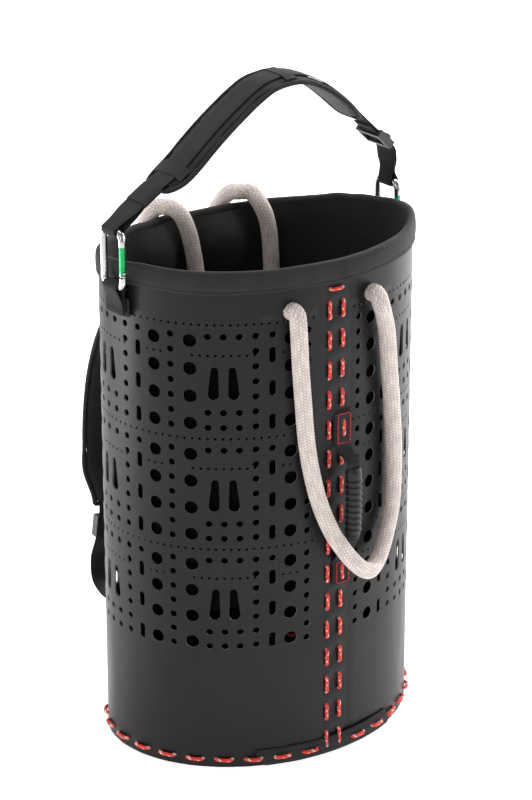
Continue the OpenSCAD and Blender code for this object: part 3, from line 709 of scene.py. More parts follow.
# Distance of each column from the left side of a block
COL_M1, COL_L1, COL_O, COL_M2, COL_T, COL_L2 = (v * MM for v in (9.15, 25.85, 43.35, 58.85, 88.15, 118.85))
SMALL_R, MEDIUM_R, LARGE_R, SLOT_R = 1.45 * MM, 3.3 * MM, 6.4 * MM, 3.3 * MM
ROPE_HOLE_R = 8.6 * MM
LONGEST_SIDE = 30 * MM


def stadium(c1, r1, c2, r2, sides):
    """The outline round two circles."""
    w = turns(sides)
    d = np.stack([np.cos(w), np.sin(w)], 1)
    c1, c2 = np.array(c1), np.array(c2)
    first = (d @ c1 + r1) >= (d @ c2 + r2)
    return np.where(first[:, None], c1 + d * r1, c2 + d * r2)


def disc(x, y, r, sides):
    return stadium((x, y), r, (x, y), r, sides)


def medium_column(x):
    return [disc(x, (10.9 + 14.65 * i) * MM, MEDIUM_R, 16) for i in range(7)]


def large_column(x):
    return [disc(x, (15.8 + 26.7 * i) * MM, LARGE_R, 26) for i in range(4)]


def block_holes():
    """One block's holes, as outlines: x from the block's left side, y down from its row of small holes."""
    holes = [disc((k + 0.5) * HOLE_PITCH, 0, SMALL_R, 10) for k in range(18)]
    holes += medium_column(COL_M1) + medium_column(COL_M2) + large_column(COL_L1) + large_column(COL_L2)
    holes.append(disc(COL_O, 10.8 * MM, MEDIUM_R, 16))
    for y in (30.3, 62.3, 95.2):
        holes.append(stadium((COL_O, (y - 4.3) * MM), SLOT_R, (COL_O, (y + 4.3) * MM), SLOT_R, 24))
    for y in (11.3, 84.9, 99.6):
        holes += [disc(COL_T + k * 14.3 * MM, y * MM, MEDIUM_R, 16) for k in (-1, 0, 1)]
    for side in (-1, 1):
        holes.append(stadium((COL_T + side * 8.15 * MM, 43.7 * MM), 3.4 * MM,
                             (COL_T + side * 9.35 * MM, 67.2 * MM), 5.2 * MM, 30))
    # A row of small holes, but for the one that would fall inside a large hole
    holes += [disc(COL_T + k * HOLE_PITCH, 29.5 * MM, SMALL_R, 10) for k in range(-4, 5)
              if abs(COL_T + k * HOLE_PITCH - COL_L2) > 2 * MM]
    holes += [disc(COL_L1 + k * HOLE_PITCH, 29.1 * MM, SMALL_R, 10) for k in (-1, 0, 1)]
    return holes


def inside_loop(points, loop):
    x, y = points[:, 0], points[:, 1]
    hit = np.zeros(len(points), bool)
    for (x1, y1), (x2, y2) in zip(loop, np.roll(loop, -1, 0)):
        crosses = (y1 > y) != (y2 > y)
        with np.errstate(divide="ignore", invalid="ignore"):
            hit ^= crosses & (x < (x2 - x1) * (y - y1) / (y2 - y1) + x1)
    return hit


def panel(x0, x1, y0, y1, holes, step_x, step_y):
    """A flat rectangle with holes, as triangles; its grid keeps clear of the holes."""
    nx, ny = max(1, round((x1 - x0) / step_x)), max(1, round((y1 - y0) / step_y))
    gx, gy = np.meshgrid(np.linspace(x0, x1, nx + 1), np.linspace(y0, y1, ny + 1))
    grid = np.stack([gx.ravel(), gy.ravel()], 1)
    edge = ((np.abs(grid[:, 0] - x0) < 1e-9) | (np.abs(grid[:, 0] - x1) < 1e-9)
            | (np.abs(grid[:, 1] - y0) < 1e-9) | (np.abs(grid[:, 1] - y1) < 1e-9))
    keep = np.ones(len(grid), bool)
    for loop in holes:
        centre, reach = loop.mean(0), np.abs(loop - loop.mean(0)).max(0) + 1.2 * MM
        keep &= edge | (np.abs(grid - centre) > reach).any(1)
    verts = [Vector(v) for v in grid[keep]]
    edges, count = [], len(verts)
    for loop in holes:
        verts += [Vector(v) for v in loop]
        edges += [(count + i, count + (i + 1) % len(loop)) for i in range(len(loop))]
        count += len(loop)
    out, _, faces, _, _, _ = delaunay_2d_cdt(verts, edges, [], 0, 1e-7)
    flat = np.array([tuple(v) for v in out])
    faces = np.array([f for f in faces if len(f) == 3])
    middle = flat[faces].mean(1)
    # Slivers along a straight edge would turn into plates across the bag
    solid = np.linalg.norm(flat[faces] - flat[np.roll(faces, 1, 1)], axis=2).max(1) < LONGEST_SIDE
    for loop in holes:
        index = np.nonzero(np.abs(middle - loop.mean(0)).max(1) < 20 * MM)[0]
        solid[index] &= ~inside_loop(middle[index], loop)
    return flat, faces[solid]


def lace_places():
    return STITCH_TOP - np.arange(STITCHES) * STITCH_PITCH


def pucker(u, z):
    """How the sheet is drawn in by the seam's stitches and bulges between them."""
    x = u - SEAM
    near = np.exp(-(np.abs(x) / (17 * MM)) ** 2.2)
    wave = np.cos(2 * math.pi * (z - STITCH_TOP) / STITCH_PITCH)
    reach = smoothstep((STITCH_TOP + 30 * MM - z) / (20 * MM)) * smoothstep((z - 2 * MM) / (12 * MM))
    return reach * near * (-1.2 * wave - 0.3) * MM


BASE_STITCHES = round(PERIMETER / BASE_PITCH)
BASE_STEP = PERIMETER / BASE_STITCHES


def base_pull(u, z):
    """How far the base lacing draws the sheet in."""
    phase = (u - SEAM) / BASE_STEP - 0.5
    return -0.5 * MM * np.exp(-((z - BASE_LACE_Z) / (7 * MM)) ** 2) * np.cos(2 * math.pi * phase)


def sheet_point(u, z, depth):
    """A point of the sheet: distance along, height and depth below its outer face."""
    lap = (u < SEAM + LAP_OUT + 10 * MM) & (u < PERIMETER / 2)
    off = sheet_in(u) - depth + np.where(lap, 0, base_pull(u, z)) + np.where(lap, -0.7 * MM, pucker(u, z))
    off = off + np.where(u > PERIMETER, pucker(u - PERIMETER, z), 0)
    xy = along(u, off)
    top = rim_z(xy[..., 1]) - COLLAR_T + rim_wave(xy[..., 0], xy[..., 1])
    band = RIM_Z - 45 * MM
    z = np.where(z > band, band + (z - band) * (top - band) / (RIM_Z - COLLAR_T - band), z)
    return np.concatenate([xy, z[..., None]], -1)


def sheet_panels():
    """Every flat panel of the sheet as (points, triangles), in distance along and height."""
    holes = block_holes()
    bottom, top = BLOCK_H - 5.5 * MM, -5.5 * MM
    flat, tris = panel(0, BLOCK_W, top, bottom, holes, BLOCK_W / 24, BLOCK_H / 20)
    right_end = SEAM + FIRST_U + 3 * BLOCK_W
    left_end = SEAM + PERIMETER - FIRST_U - 3 * BLOCK_W
    gap_w = left_end - right_end
    middle_holes = medium_column(COL_M1) + medium_column(gap_w - COL_M1) + large_column(gap_w / 2)
    middle_holes += [disc((k + 0.5) * gap_w / 8, 0, SMALL_R, 10) for k in range(8)]
    mid_flat, mid_tris = panel(0, gap_w, top, bottom, middle_holes, gap_w / 10, BLOCK_H / 20)
    panels = []
    for row in range(BLOCKS):
        z = ROW_Z - row * BLOCK_H
        for k in range(3):
            right = np.stack([SEAM + FIRST_U + k * BLOCK_W + flat[:, 0], z - flat[:, 1]], 1)
            left = np.stack([SEAM + PERIMETER - FIRST_U - k * BLOCK_W - flat[:, 0], z - flat[:, 1]], 1)
            panels += [(right, tris[:, ::-1]), (left, tris)]
        panels.append((np.stack([right_end + mid_flat[:, 0], z - mid_flat[:, 1]], 1), mid_tris[:, ::-1]))
    low = ROW_Z - (BLOCKS - 1) * BLOCK_H - bottom
    high = ROW_Z - top
    start, end = SEAM - LAP_IN, SEAM + LAP_OUT + PERIMETER
    # Columns of the plain bands follow the blocks' own columns, so that all of the panels meet
    for x0, x1, count in ((SEAM + FIRST_U, right_end, 72), (right_end, left_end, 10),
                          (left_end, SEAM + PERIMETER - FIRST_U, 72)):
        step = (x1 - x0) / count
        panels.append(panel(x0, x1, 0, low, [], step, 6 * MM))
        panels.append(panel(x0, x1, high, RIM_Z - COLLAR_T, rope_hole_outlines(x0, x1), step, 4 * MM))
    for x0, x1 in ((start, SEAM + FIRST_U), (SEAM + PERIMETER - FIRST_U, end)):
        count = round((x1 - x0) / (2.6 * MM))
        step = (x1 - x0) / count
        panels.append(panel(x0, x1, 0, low, [], step, 3 * MM))
        for row in range(BLOCKS):
            z = ROW_Z - row * BLOCK_H
            panels.append(panel(x0, x1, z - bottom, z - top, [], step, BLOCK_H / 40))
        panels.append(panel(x0, x1, high, RIM_Z - COLLAR_T, [], step, 2 * MM))
    return panels


def rope_hole_outlines(x0, x1):
    """The holes that the ropes pass through, in distance along and height, within one band."""
    places = []
    for x, z in ((-38, 458), (50, 458)):
        places.append((np.interp(x * MM, OVAL_FRONT_X, OVAL_FRONT_U), z * MM))
    for x, z in ((-56, 458), (28, 458)):
        places.append((np.interp(x * MM, OVAL_BACK_X, OVAL_BACK_U), z * MM))
    outlines = []
    for u, z in places:
        u = u + PERIMETER if u < SEAM + FIRST_U else u
        if x0 + ROPE_HOLE_R < u < x1 - ROPE_HOLE_R:
            outlines.append(disc(u, z, ROPE_HOLE_R, 32))
    return outlines


front_part = (ARCS > -PERIMETER / 4) & (ARCS < PERIMETER / 4)
OVAL_FRONT_X, OVAL_FRONT_U = OVAL[front_part, 0], ARCS[front_part]
back_part = (ARCS > PERIMETER * 0.26) & (ARCS < PERIMETER * 0.74)
OVAL_BACK_X, OVAL_BACK_U = OVAL[back_part, 0][::-1], ARCS[back_part][::-1]


def make_sheet():
    points, tris, count = [], [], 0
    for flat, faces in sheet_panels():
        points.append(flat)
        tris.append(faces + count)
        count += len(flat)
    points, tris = np.vstack(points), np.vstack(tris)
    # Points of neighbouring panels that agree to a thousandth of a millimetre become one
    keys = np.round(points / 1e-6).astype(np.int64)
    _, first, back = np.unique(keys, axis=0, return_index=True, return_inverse=True)
    points, tris = points[first], back.ravel()[tris]
    tris = tris[(tris[:, 0] != tris[:, 1]) & (tris[:, 1] != tris[:, 2]) & (tris[:, 0] != tris[:, 2])]
    a, b, c = (points[tris[:, k]] for k in range(3))
    area = (b[:, 0] - a[:, 0]) * (c[:, 1] - a[:, 1]) - (c[:, 0] - a[:, 0]) * (b[:, 1] - a[:, 1])
    tris[area < 0] = tris[area < 0][:, ::-1]
    u, z = points[:, 0], points[:, 1]
    outer, inner = sheet_point(u, z, 0.0), sheet_point(u, z, SHEET_T)
    n = len(points)
    edges = np.vstack([tris[:, [0, 1]], tris[:, [1, 2]], tris[:, [2, 0]]])
    _, index, times = np.unique(np.sort(edges, 1), axis=0, return_index=True, return_counts=True)
    rim = edges[index[times == 1]]
    walls = np.stack([rim[:, 1], rim[:, 0], rim[:, 0] + n, rim[:, 1] + n], 1)
    faces = [tuple(t) for t in tris] + [tuple(t) for t in tris[:, ::-1] + n] + [tuple(q) for q in walls]
    both = np.vstack([outer, inner])
    sheet = add_object("perforated_sheet", both, faces, SHEET, np.vstack([points, points]))
    # The walls of the cut edges and holes take the pale painted highlight
    second_material(sheet, CUT_EDGE_HIGHLIGHT, np.arange(len(faces)) >= len(faces) - len(walls))
    place(sheet, "bag", "plastic", "shell")


make_sheet()


# ---- Lacing ----

def lace_path(u, patched):
    behind = -UNDER - SHEET_T - LACE_D / 2
    points = []
    for i, z in enumerate(lace_places()):
        out = LACE_D / 2 + (2.5 * MM if patched and i in PATCHED else 0)
        h, dive = STITCH_LEN / 2, 2.5 * MM
        half_way = (out + behind) / 2
        shape = [(z + h + dive, behind), (z + h, half_way), (z + h - dive, out), (z, out + 0.4 * MM),
                 (z - h + dive, out), (z - h, half_way), (z - h - dive, behind)]
        for height, off in shape:
            xy = along(u + 0.5 * MM * wobble(i * 3.7, u * 90, height * 40), off + float(pucker(u, height)))
            points.append((*xy, height))
    return curve(points, 0.5 * MM)


def lace(name, line, side, *nodes, closed=False):
    piece = braid(name, line, LACE_D / 2 - 0.25 * MM, side, LACE_STRANDS, LACE_LAY, LACE, LACE_COLOURS,
                  LACE_TRACER, 30, 0.5 * MM, LACE_RELIEF, closed)
    return place(piece, "bag", "lacing", *nodes)


def base_lace_path():
    behind = -UNDER - SHEET_T - 0.2 * MM - 1.5 * MM - LACE_D / 2
    h, dive = STITCH_LEN / 2, 2.5 * MM
    points = []
    for i in range(1, BASE_STITCHES):
        for q, f in ((-h, 0.5), (-h + dive, 1), (0, 1.08), (h - dive, 1), (h, 0.5), (h + dive, 0),
                     (BASE_STEP - h - dive, 0)):
            u = SEAM + 2.2 * MM + i * BASE_STEP + q
            x, y = along(u, 0)
            front = y < 0 and PATCH_X[0] - LACE_D < x < PATCH_X[1] + LACE_D
            out = LACE_D / 2 + (2 * MM if front else 0)
            height = BASE_LACE_Z + 0.7 * MM * wobble(i * 1.9, q * 60)
            points.append((*along(u, behind + f * (out - behind)), height))
    return curve(points + points[:1], 0.55 * MM)


def lacing():
    lace("seam_cord_left", lace_path(SEAM - LACE_GAP / 2, False), (1, 0, 0), "seam_lacing_left")
    lace("seam_cord_right", lace_path(SEAM + LACE_GAP / 2, True), (1, 0, 0), "seam_lacing_right")
    behind, half, over = -UNDER - SHEET_T - LACE_D / 2, LACE_GAP / 2, 2 * MM
    out = LACE_D / 2
    shape = [(-half - over, behind), (-half, (out + behind) / 2), (-half + over, out), (0, out + 0.4 * MM),
             (half - over, out), (half, (out + behind) / 2), (half + over, behind)]
    points = [(*along(SEAM + q, off), RIM_Z - COLLAR_H - 5.9 * MM) for q, off in shape]
    lace("seam_cord_top", curve(points, 0.5 * MM), (0, 0, 1), "seam_lacing_top")
    lace("base_cord", base_lace_path(), (0, 0, 1), "base_lacing", closed=True)


lacing()


# ---- Collar and lining ----

COLLAR_FROM = 21 * MM
STITCH_DENT = 0.45
ROW_STITCH = (3 * MM, 1.1 * MM, 0.35 * MM)      # length, gap and radius of the long rows' stitches


def around(name, u, profile, mat):
    """Carries a closed outline of (offset, height below the rim) round the bag; profile(u) gives it."""
    rings = []
    for v in u:
        xy0 = along(v, 0.0)
        top = rim_z(xy0[1]) + float(rim_wave(*xy0))
        rings.append([(*along(v, off), top + z) for off, z in profile(v)])
    return loft(name, np.array(rings), mat)


def collar_profile(u):
    """The collar's outline at one place, up its outer face, over the rim and down its inner face."""
    x, y = along(u, 0.0)
    puff = 0.5 * wobble(x, y, 1, 30) + 0.25 * wobble(x, y, 3, 90)
    hang = 0.8 * wobble(x, y, 7, 16) + 0.4 * wobble(x, y, 9, 60)
    over = 1.1 * smoothstep((u - COLLAR_FROM - PERIMETER + 9 * MM) / (4 * MM))
    out, low, inner = 2.4 + puff + over, -COLLAR_H / MM + hang, -5.6 - 0.5 * puff
    return np.array([
        (0.3 + over, low), (out - 0.5, low - 0.1), (out, low + 0.9), (out + 0.1, low + 2.4),
        (out - STITCH_DENT, low + 3.2), (out + 0.1, low + 4.2), (out + 0.4, low + 8), (out + 0.4, -8),
        (out + 0.1, -4), (out - 0.6, -1.6), (out - 2, -0.3), (-1.6, 0), (inner + 2, -0.3),
        (inner + 0.6, -1.6), (inner, -4), (inner - 0.3, -12), (inner, low), (-3.3, low), (-3.3, -6),
        (0.2 + over, -6)]) * MM


def make_collar():
    u = np.arange(COLLAR_FROM - 5 * MM, COLLAR_FROM + PERIMETER, 3 * MM)
    place(around("rim_collar", u, collar_profile, COLLAR_CLOTH), "bag", "fabric", "collar")
    u = np.arange(COLLAR_FROM + 2 * MM, COLLAR_FROM + PERIMETER - 1 * MM, 3 * MM)
    line, normal = [], []
    for v in u:
        off, z = collar_profile(v)[4]
        xy, xy0 = along(v, off), along(v, 0.0)
        line.append((*xy, rim_z(xy0[1]) + float(rim_wave(*xy0)) + z))
        normal.append((*unit(xy - xy0), 0))
    row = stitches("collar_stitches", np.array(line), np.array(normal), BLACK_THREAD, *ROW_STITCH)
    place(row, "bag", "fabric")


KNOTS = [(x * MM, wall_y(x * MM, -FRONT), 458 * MM) for x in (-38, 50)]
KNOTS += [(x * MM, wall_y(x * MM, BACK), 446 * MM) for x in (-56, 28)]
KNOT_SWELL, KNOT_REACH = 16.5 * MM, 27 * MM
LINING_TOP = 4 * MM
LINING_LOW = 168 * MM
LINING_T = 1.1 * MM


def make_lining():
    """The hanging liner: soft upright folds that deepen downwards, and a swelling over each knot."""
    steps = 300
    us = np.arange(steps) * PERIMETER / steps
    xy0 = along(us, np.zeros(steps))
    rows = []
    base = -7.6 * MM
    for k in range(61):
        f = k / 60
        low = LINING_LOW + 4 * MM * np.sin(us / PERIMETER * 2 * math.pi * 3 + 1) + 2 * MM * np.sin(us * 90)
        top = rim_z(xy0[:, 1]) + rim_wave(xy0[:, 0], xy0[:, 1]) - LINING_TOP
        z = top + (low - top) * f
        fold = np.array([wobble(x, y, q * 0.12, 26) + 0.5 * wobble(x, y, q * 0.2 + 4, 60)
                         for (x, y), q in zip(xy0, z)])
        hem = 1 - smoothstep(f / 0.055)
        off = base + 1.9 * MM * hem + fold * (0.6 + 1.5 * f) * MM * (1 - hem) - 1.2 * MM * f
        for kx, ky, kz in KNOTS:
            away = (xy0[:, 0] - kx) ** 2 + (xy0[:, 1] - ky) ** 2 + (z - kz) ** 2
            off = off - KNOT_SWELL * np.exp(-(away / KNOT_REACH ** 2) ** 1.3)
        seam_dent = 0.4 * MM * np.exp(-((f - 0.05) / 0.006) ** 2)
        rows.append(np.concatenate([along(us, off + seam_dent), z[:, None]], 1))
    inner = np.array(rows)
    centre = inner * [0, 0, 1]
    outer = inner + unit((inner - centre) * [1, 1, 0]) * LINING_T
    rings = np.concatenate([inner, outer[::-1]], 0)
    verts = rings.reshape(-1, 3)
    faces = [tuple(f) for f in grid_faces(len(rings), steps, True)]
    uv = np.stack([np.tile(us, len(rings)), verts[:, 2]], 1)
    liner = add_object("hanging_liner", verts, faces, LINING, uv)
    # The outer face, with its bottom edge, takes the near-black painted shade
    second_material(liner, LINING_BACK_PAINTED_SHADE, np.arange(len(faces)) // steps >= len(inner) - 1)
    place(liner, "bag", "fabric", "lining")
    round_it = float(lengths(np.vstack([inner[30], inner[30][:1]]))[-1])


make_collar()
make_lining()


# ---- Strip over the bottom of the front ----

def make_front_patch():
    u0, u1 = (np.interp(x, OVAL_FRONT_X, OVAL_FRONT_U) for x in PATCH_X)
    high, slant, steps = 17 * MM, 8 * MM, 110
    rings = []
    for u in np.linspace(u0, u1, steps):
        left, right = u - u0, u1 - u
        low = max(0.0, slant - left) + 0.3 * MM
        top = high - max(0.0, slant - 2 * right) + 0.4 * MM * wobble(u * 60)
        edge = [(0.0, top), (1.5 * MM, top), (2.1 * MM, top - 1 * MM), (1.6 * MM, top - 2.4 * MM),
                (2.3 * MM, top - 3.6 * MM), (2.4 * MM, (top + low) / 2), (2.1 * MM, low + 1 * MM),
                (1.6 * MM, low), (0.0, low)]
        puff = 0.35 * MM * wobble(u * 50, 3)
        rings.append([(*along(u, off + (puff if off > 1 * MM else 0)), z) for off, z in edge])
    strip = loft("front_strip", np.array(rings), WEBBING)
    place(strip, "bag", "fabric", "front_patch")
    us = np.linspace(u0 + 3 * MM, u1 - 5 * MM, steps)
    line = np.array([(*along(u, 1.8 * MM), 14.2 * MM) for u in us])
    normal = np.array([(*unit(along(u, 1 * MM) - along(u, 0.0)), 0) for u in us])
    place(stitches("front_strip_stitches", line, normal, BLACK_THREAD, *ROW_STITCH), "bag", "fabric")


make_front_patch()


# ---- Webbing helper ----

def tape(name, line, across, widths, thick, mat=WEBBING):
    """Webbing along a 3D line; across is the direction of its width, widths one number or one per point."""
    t = tangents(line)
    a = unit(np.broadcast_to(across, t.shape))
    b = unit(np.cross(a, t))
    w = np.broadcast_to(np.asarray(widths, float), len(line))
    section = flat_section(thick)
    rings = (line[:, None, :] + (section[None, :, 0] * w[:, None])[..., None] * a[:, None, :]
             + section[None, :, 1:2] * b[:, None, :])
    return loft(name, rings, mat)


# ---- Grab handle on the front ----

GRIP_U = SEAM + LACE_GAP / 2
GRIP_X = float(along(GRIP_U, 0.0)[0])
PATCH_Y = wall_y(GRIP_X, -FRONT) - WEB_T
UPPER_Z, LOWER_Z = (STITCH_TOP - k * STITCH_PITCH for k in PATCHED)
GRIP_MID, GRIP_END, GRIP_OUT = 268 * MM, 35 * MM, 19 * MM
GRIP_R = 8 * MM
GRIP_PATCH_W = 20 * MM


def box_stitches(name, z, h, w):
    """A red box of stitching on a patch."""
    x, y = w / 2 - 3.4 * MM, PATCH_Y - WEB_T - 0.35 * MM
    corners = [(-x, z - h), (x, z - h), (x, z + h), (-x, z + h), (-x, z - h)]
    line = even(np.array([(GRIP_X + cx, y, cz) for cx, cz in corners]), 1.2 * MM)
    normal = np.tile([0.0, -1.0, 0.0], (len(line), 1))
    return stitches(name, line, normal, RED_THREAD, 2.2 * MM, 0.5 * MM, 0.55 * MM)


def grip():
    for name, z, half in (("upper", UPPER_Z, 17 * MM), ("lower", LOWER_Z, 13 * MM)):
        line = even(np.array([(GRIP_X, PATCH_Y + WEB_T / 2, end) for end in (z - half, z + half)]), 2 * MM)
        cloth = tape(f"grip_patch_{name}_cloth", line, (1, 0, 0), GRIP_PATCH_W, WEB_T)
        place(cloth, "bag", "fabric", f"grip_patch_{name}")
        place(box_stitches(f"grip_stitches_{name}", z, half - 2.4 * MM, GRIP_PATCH_W), "bag", "fabric")
    path = [(UPPER_Z + 15 * MM, 0), (UPPER_Z - 15 * MM, 0.3 * MM), (UPPER_Z - 22 * MM, 4 * MM),
            (GRIP_MID + GRIP_END + 6 * MM, GRIP_OUT - 3 * MM), (GRIP_MID + GRIP_END - 4 * MM, GRIP_OUT),
            (GRIP_MID - GRIP_END + 4 * MM, GRIP_OUT), (GRIP_MID - GRIP_END - 6 * MM, GRIP_OUT - 3 * MM),
            (LOWER_Z + 16 * MM, 2 * MM), (LOWER_Z + 10 * MM, 0), (LOWER_Z - 12 * MM, 0)]
    line = curve([(GRIP_X, PATCH_Y - WEB_T / 2 - off, z) for z, off in path], 1.5 * MM)
    sewn = np.minimum(np.abs(line[:, 2] - UPPER_Z), np.abs(line[:, 2] - LOWER_Z))
    widths = 14 * MM + 4.5 * MM * (1 - smoothstep((sewn - 16 * MM) / (12 * MM)))
    place(tape("grip_webbing_strip", line, (1, 0, 0), widths, WEB_T), "bag", "fabric", "grip_webbing")
    # The moulded grip: a plain cap above, then ribs
    steps, sides = 230, 40
    z = np.linspace(GRIP_END, -GRIP_END, steps)
    f = (GRIP_END - z) / (2 * GRIP_END)
    rib = np.clip(np.sin((f - 0.17) / 0.83 * 9.5 * 2 * math.pi) * 2.2, -1, 1)
    radius = GRIP_R * (0.93 + np.where(f > 0.16, 0.085 * rib - 0.02, 0.05))
    radius *= np.minimum(1, (0.55 + 8 * np.minimum(f, 1 - f)) ** 0.5)
    w = turns(sides)
    bow = PATCH_Y - WEB_T / 2 - GRIP_OUT + 1.2 * MM * (z / GRIP_END) ** 2
    rings = np.stack([GRIP_X + radius[:, None] * np.cos(w), bow[:, None] + radius[:, None] * 0.92 * np.sin(w),
                      np.broadcast_to((GRIP_MID + z)[:, None], (steps, sides))], -1)
    place(loft("ribbed_grip", rings, RUBBER), "bag", "rubber", "grip_rubber")


grip()


# ---- Carry strap ----

STRAP_TURN = math.radians(7)
CLIP_X = HALF_W + 2.4 * MM + 3.25 * MM + 2.85 * MM
CLIP_LINE = 26.75 * MM
EYE_R = 4 * MM
CLIP_Z = {-1: RIM_Z + 2 * MM, 1: RIM_Z - 20 * MM}
STRAP_ACROSS = np.array([-math.sin(STRAP_TURN), math.cos(STRAP_TURN), 0])
PAD_W, PAD_T, PAD_END_HALF = 46 * MM, 7 * MM, 11 * MM
# The carry strap's arch: distance across and height above the rim, in mm
ARCH = [(-148, 44), (-133, 53), (-117, 62), (-100, 70), (-85, 80), (-70, 92), (-51, 106), (-31, 119),
        (-14, 129), (5, 137), (28, 139), (46, 136), (63, 129), (81, 118), (100, 103), (119, 84)]


def strap_space(flat, y=0.0):
    """Points of (along the strap, height) with a distance across, turned to where the strap hangs."""
    flat = np.asarray(flat, float)
    y = np.broadcast_to(y, len(flat))
    c, s = math.cos(STRAP_TURN), math.sin(STRAP_TURN)
    return np.stack([flat[:, 0] * c - y * s, flat[:, 0] * s + y * c, flat[:, 1]], 1)


def off_line(flat, off):
    """A flat line moved to its left; off is one distance or one per point."""
    t = tangents(flat)
    return flat + np.broadcast_to(off, len(flat))[:, None] * np.stack([-t[:, 1], t[:, 0]], 1)


def arch_part(x0, x1):
    """The points of the arch between two distances across, in mm."""
    return ARCH_LINE[(ARCH_LINE[:, 0] > x0 * MM) & (ARCH_LINE[:, 0] < x1 * MM)]


ARCH_LINE = curve([(x * MM, RIM_Z + z * MM) for x, z in ARCH], 2 * MM)
LEFT_EYE = np.array([-CLIP_X, CLIP_Z[-1] + CLIP_LINE])
RIGHT_EYE = np.array([CLIP_X, CLIP_Z[1] + CLIP_LINE])
SLIDER_END = np.array([CLIP_X - 6 * MM, RIGHT_EYE[1] + 40 * MM])
SLIDE = unit(SLIDER_END - ARCH_LINE[-1])
RIGHT_LINE = np.vstack([
    ARCH_LINE[-1] + SLIDE * 6 * MM, SLIDER_END, (CLIP_X - 0.8 * MM, RIGHT_EYE[1] + 31 * MM),
    (CLIP_X + 1 * MM, RIGHT_EYE[1] + 16 * MM), RIGHT_EYE + [1.5 * MM, 8 * MM]])


def round_eye(eye, start, sweep):
    """Points round the bar of a carabiner, from one angle through another, in degrees."""
    w = np.radians(start + sweep * np.arange(7) / 6)
    return eye + 5 * MM * np.stack([np.cos(w), np.sin(w)], 1)


def strap_webbing():
    """One length of webbing: back under itself at the left clip, over the arch and round the right clip."""
    under = off_line(ARCH_LINE, -3.6 * MM)
    over = off_line(ARCH_LINE, -1 * MM)
    right = curve(RIGHT_LINE, 2 * MM)
    down, back = off_line(right, -1 * MM), off_line(right, -3.3 * MM)
    path = np.vstack([under[14:2:-3], round_eye(LEFT_EYE, 315, -180), over[3:-1:4], down[::4],
                      round_eye(RIGHT_EYE, 8, -188), back[-4:2:-4]])
    line = strap_space(curve(path, 1.5 * MM))
    # The webbing bunches up where it passes through each carabiner
    near = [np.exp(-(np.linalg.norm(line - strap_space([e]), axis=1) / (17 * MM)) ** 4)
            for e in (LEFT_EYE, RIGHT_EYE)]
    widths = WEB_W * (1 - 0.24 * near[0] - 0.30 * near[1])
    piece = tape("carry_webbing", line, STRAP_ACROSS, widths, 1.9 * MM)
    place(piece, "carry_strap", "fabric", "strap_webbing")
    line = strap_space(off_line(arch_part(-139, -118), -2.1 * MM))
    piece = tape("sewn_keeper", line, STRAP_ACROSS, WEB_W + 2.6 * MM, 6.4 * MM)
    place(piece, "carry_strap", "fabric", "strap_keeper")


def pad_half_width(f):
    """The pad's half-width from its left end, 0, to its right end, 1."""
    ends = np.minimum(f / 0.09, (1 - f) / 0.14)
    rounded = np.sqrt(np.clip(1 - (1 - np.clip(ends, 0, 1)) ** 2, 0, 1))
    return PAD_END_HALF + (PAD_W / 2 - PAD_END_HALF) * rounded


def pad_line():
    line = ARCH_LINE[ARCH_LINE[:, 0] > -117 * MM]
    return line, lengths(line) / lengths(line)[-1]


def pad_loft(name, line, f, half, thick, centre_off, to_space):
    """A soft flat pad: thick in the middle and pinched to a thin edge."""
    w = turns(40)
    y = np.sign(np.cos(w)) * np.abs(np.cos(w)) ** 0.75
    z = np.sign(np.sin(w)) * np.abs(np.sin(w)) ** 0.55
    closing = np.clip(np.minimum(f, 1 - f) / 0.02, 0.25, 1) ** 0.5
    rings = []
    for k in range(len(w)):
        off = centre_off + z[k] * thick / 2 * closing
        rings.append(to_space(off_line(line, off), y[k] * half))
    return loft(name, np.array(rings).transpose(1, 0, 2), PAD_CLOTH)


def binding(name, line, half, centre_off, to_space, r):
    """The bound edge that runs round a pad."""
    middle = off_line(line, centre_off)
    one, two = to_space(middle, half + 0.3 * r), to_space(middle, -half - 0.3 * r)
    loop = even(np.vstack([one, two[::-1], one[:1]]), 2 * MM)[:-1]
    a, b = frames(loop, (0.13, 0.2, 1), True)
    w = turns(12)
    rings = loop[:, None] + r * (np.cos(w)[:, None] * a[:, None] + 1.25 * np.sin(w)[:, None] * b[:, None])
    return loft(name, rings, WEBBING, closed=True)


SOFT = []


def soften(piece, pinned, pressure, cap):
    """Queues a pad for the cloth simulation; pinned says which points are sewn down."""
    SOFT.append((piece, pinned, pressure, cap))


def bake(piece):
    """Keeps the mesh that the modifiers make, and drops the modifiers."""
    mesh = bpy.data.meshes.new_from_object(piece.evaluated_get(bpy.context.evaluated_depsgraph_get()))
    piece.modifiers.clear()
    piece.data = mesh
    return mesh


CLOTH_FRAMES = 20
REMESH_SIZE = 4 * MM


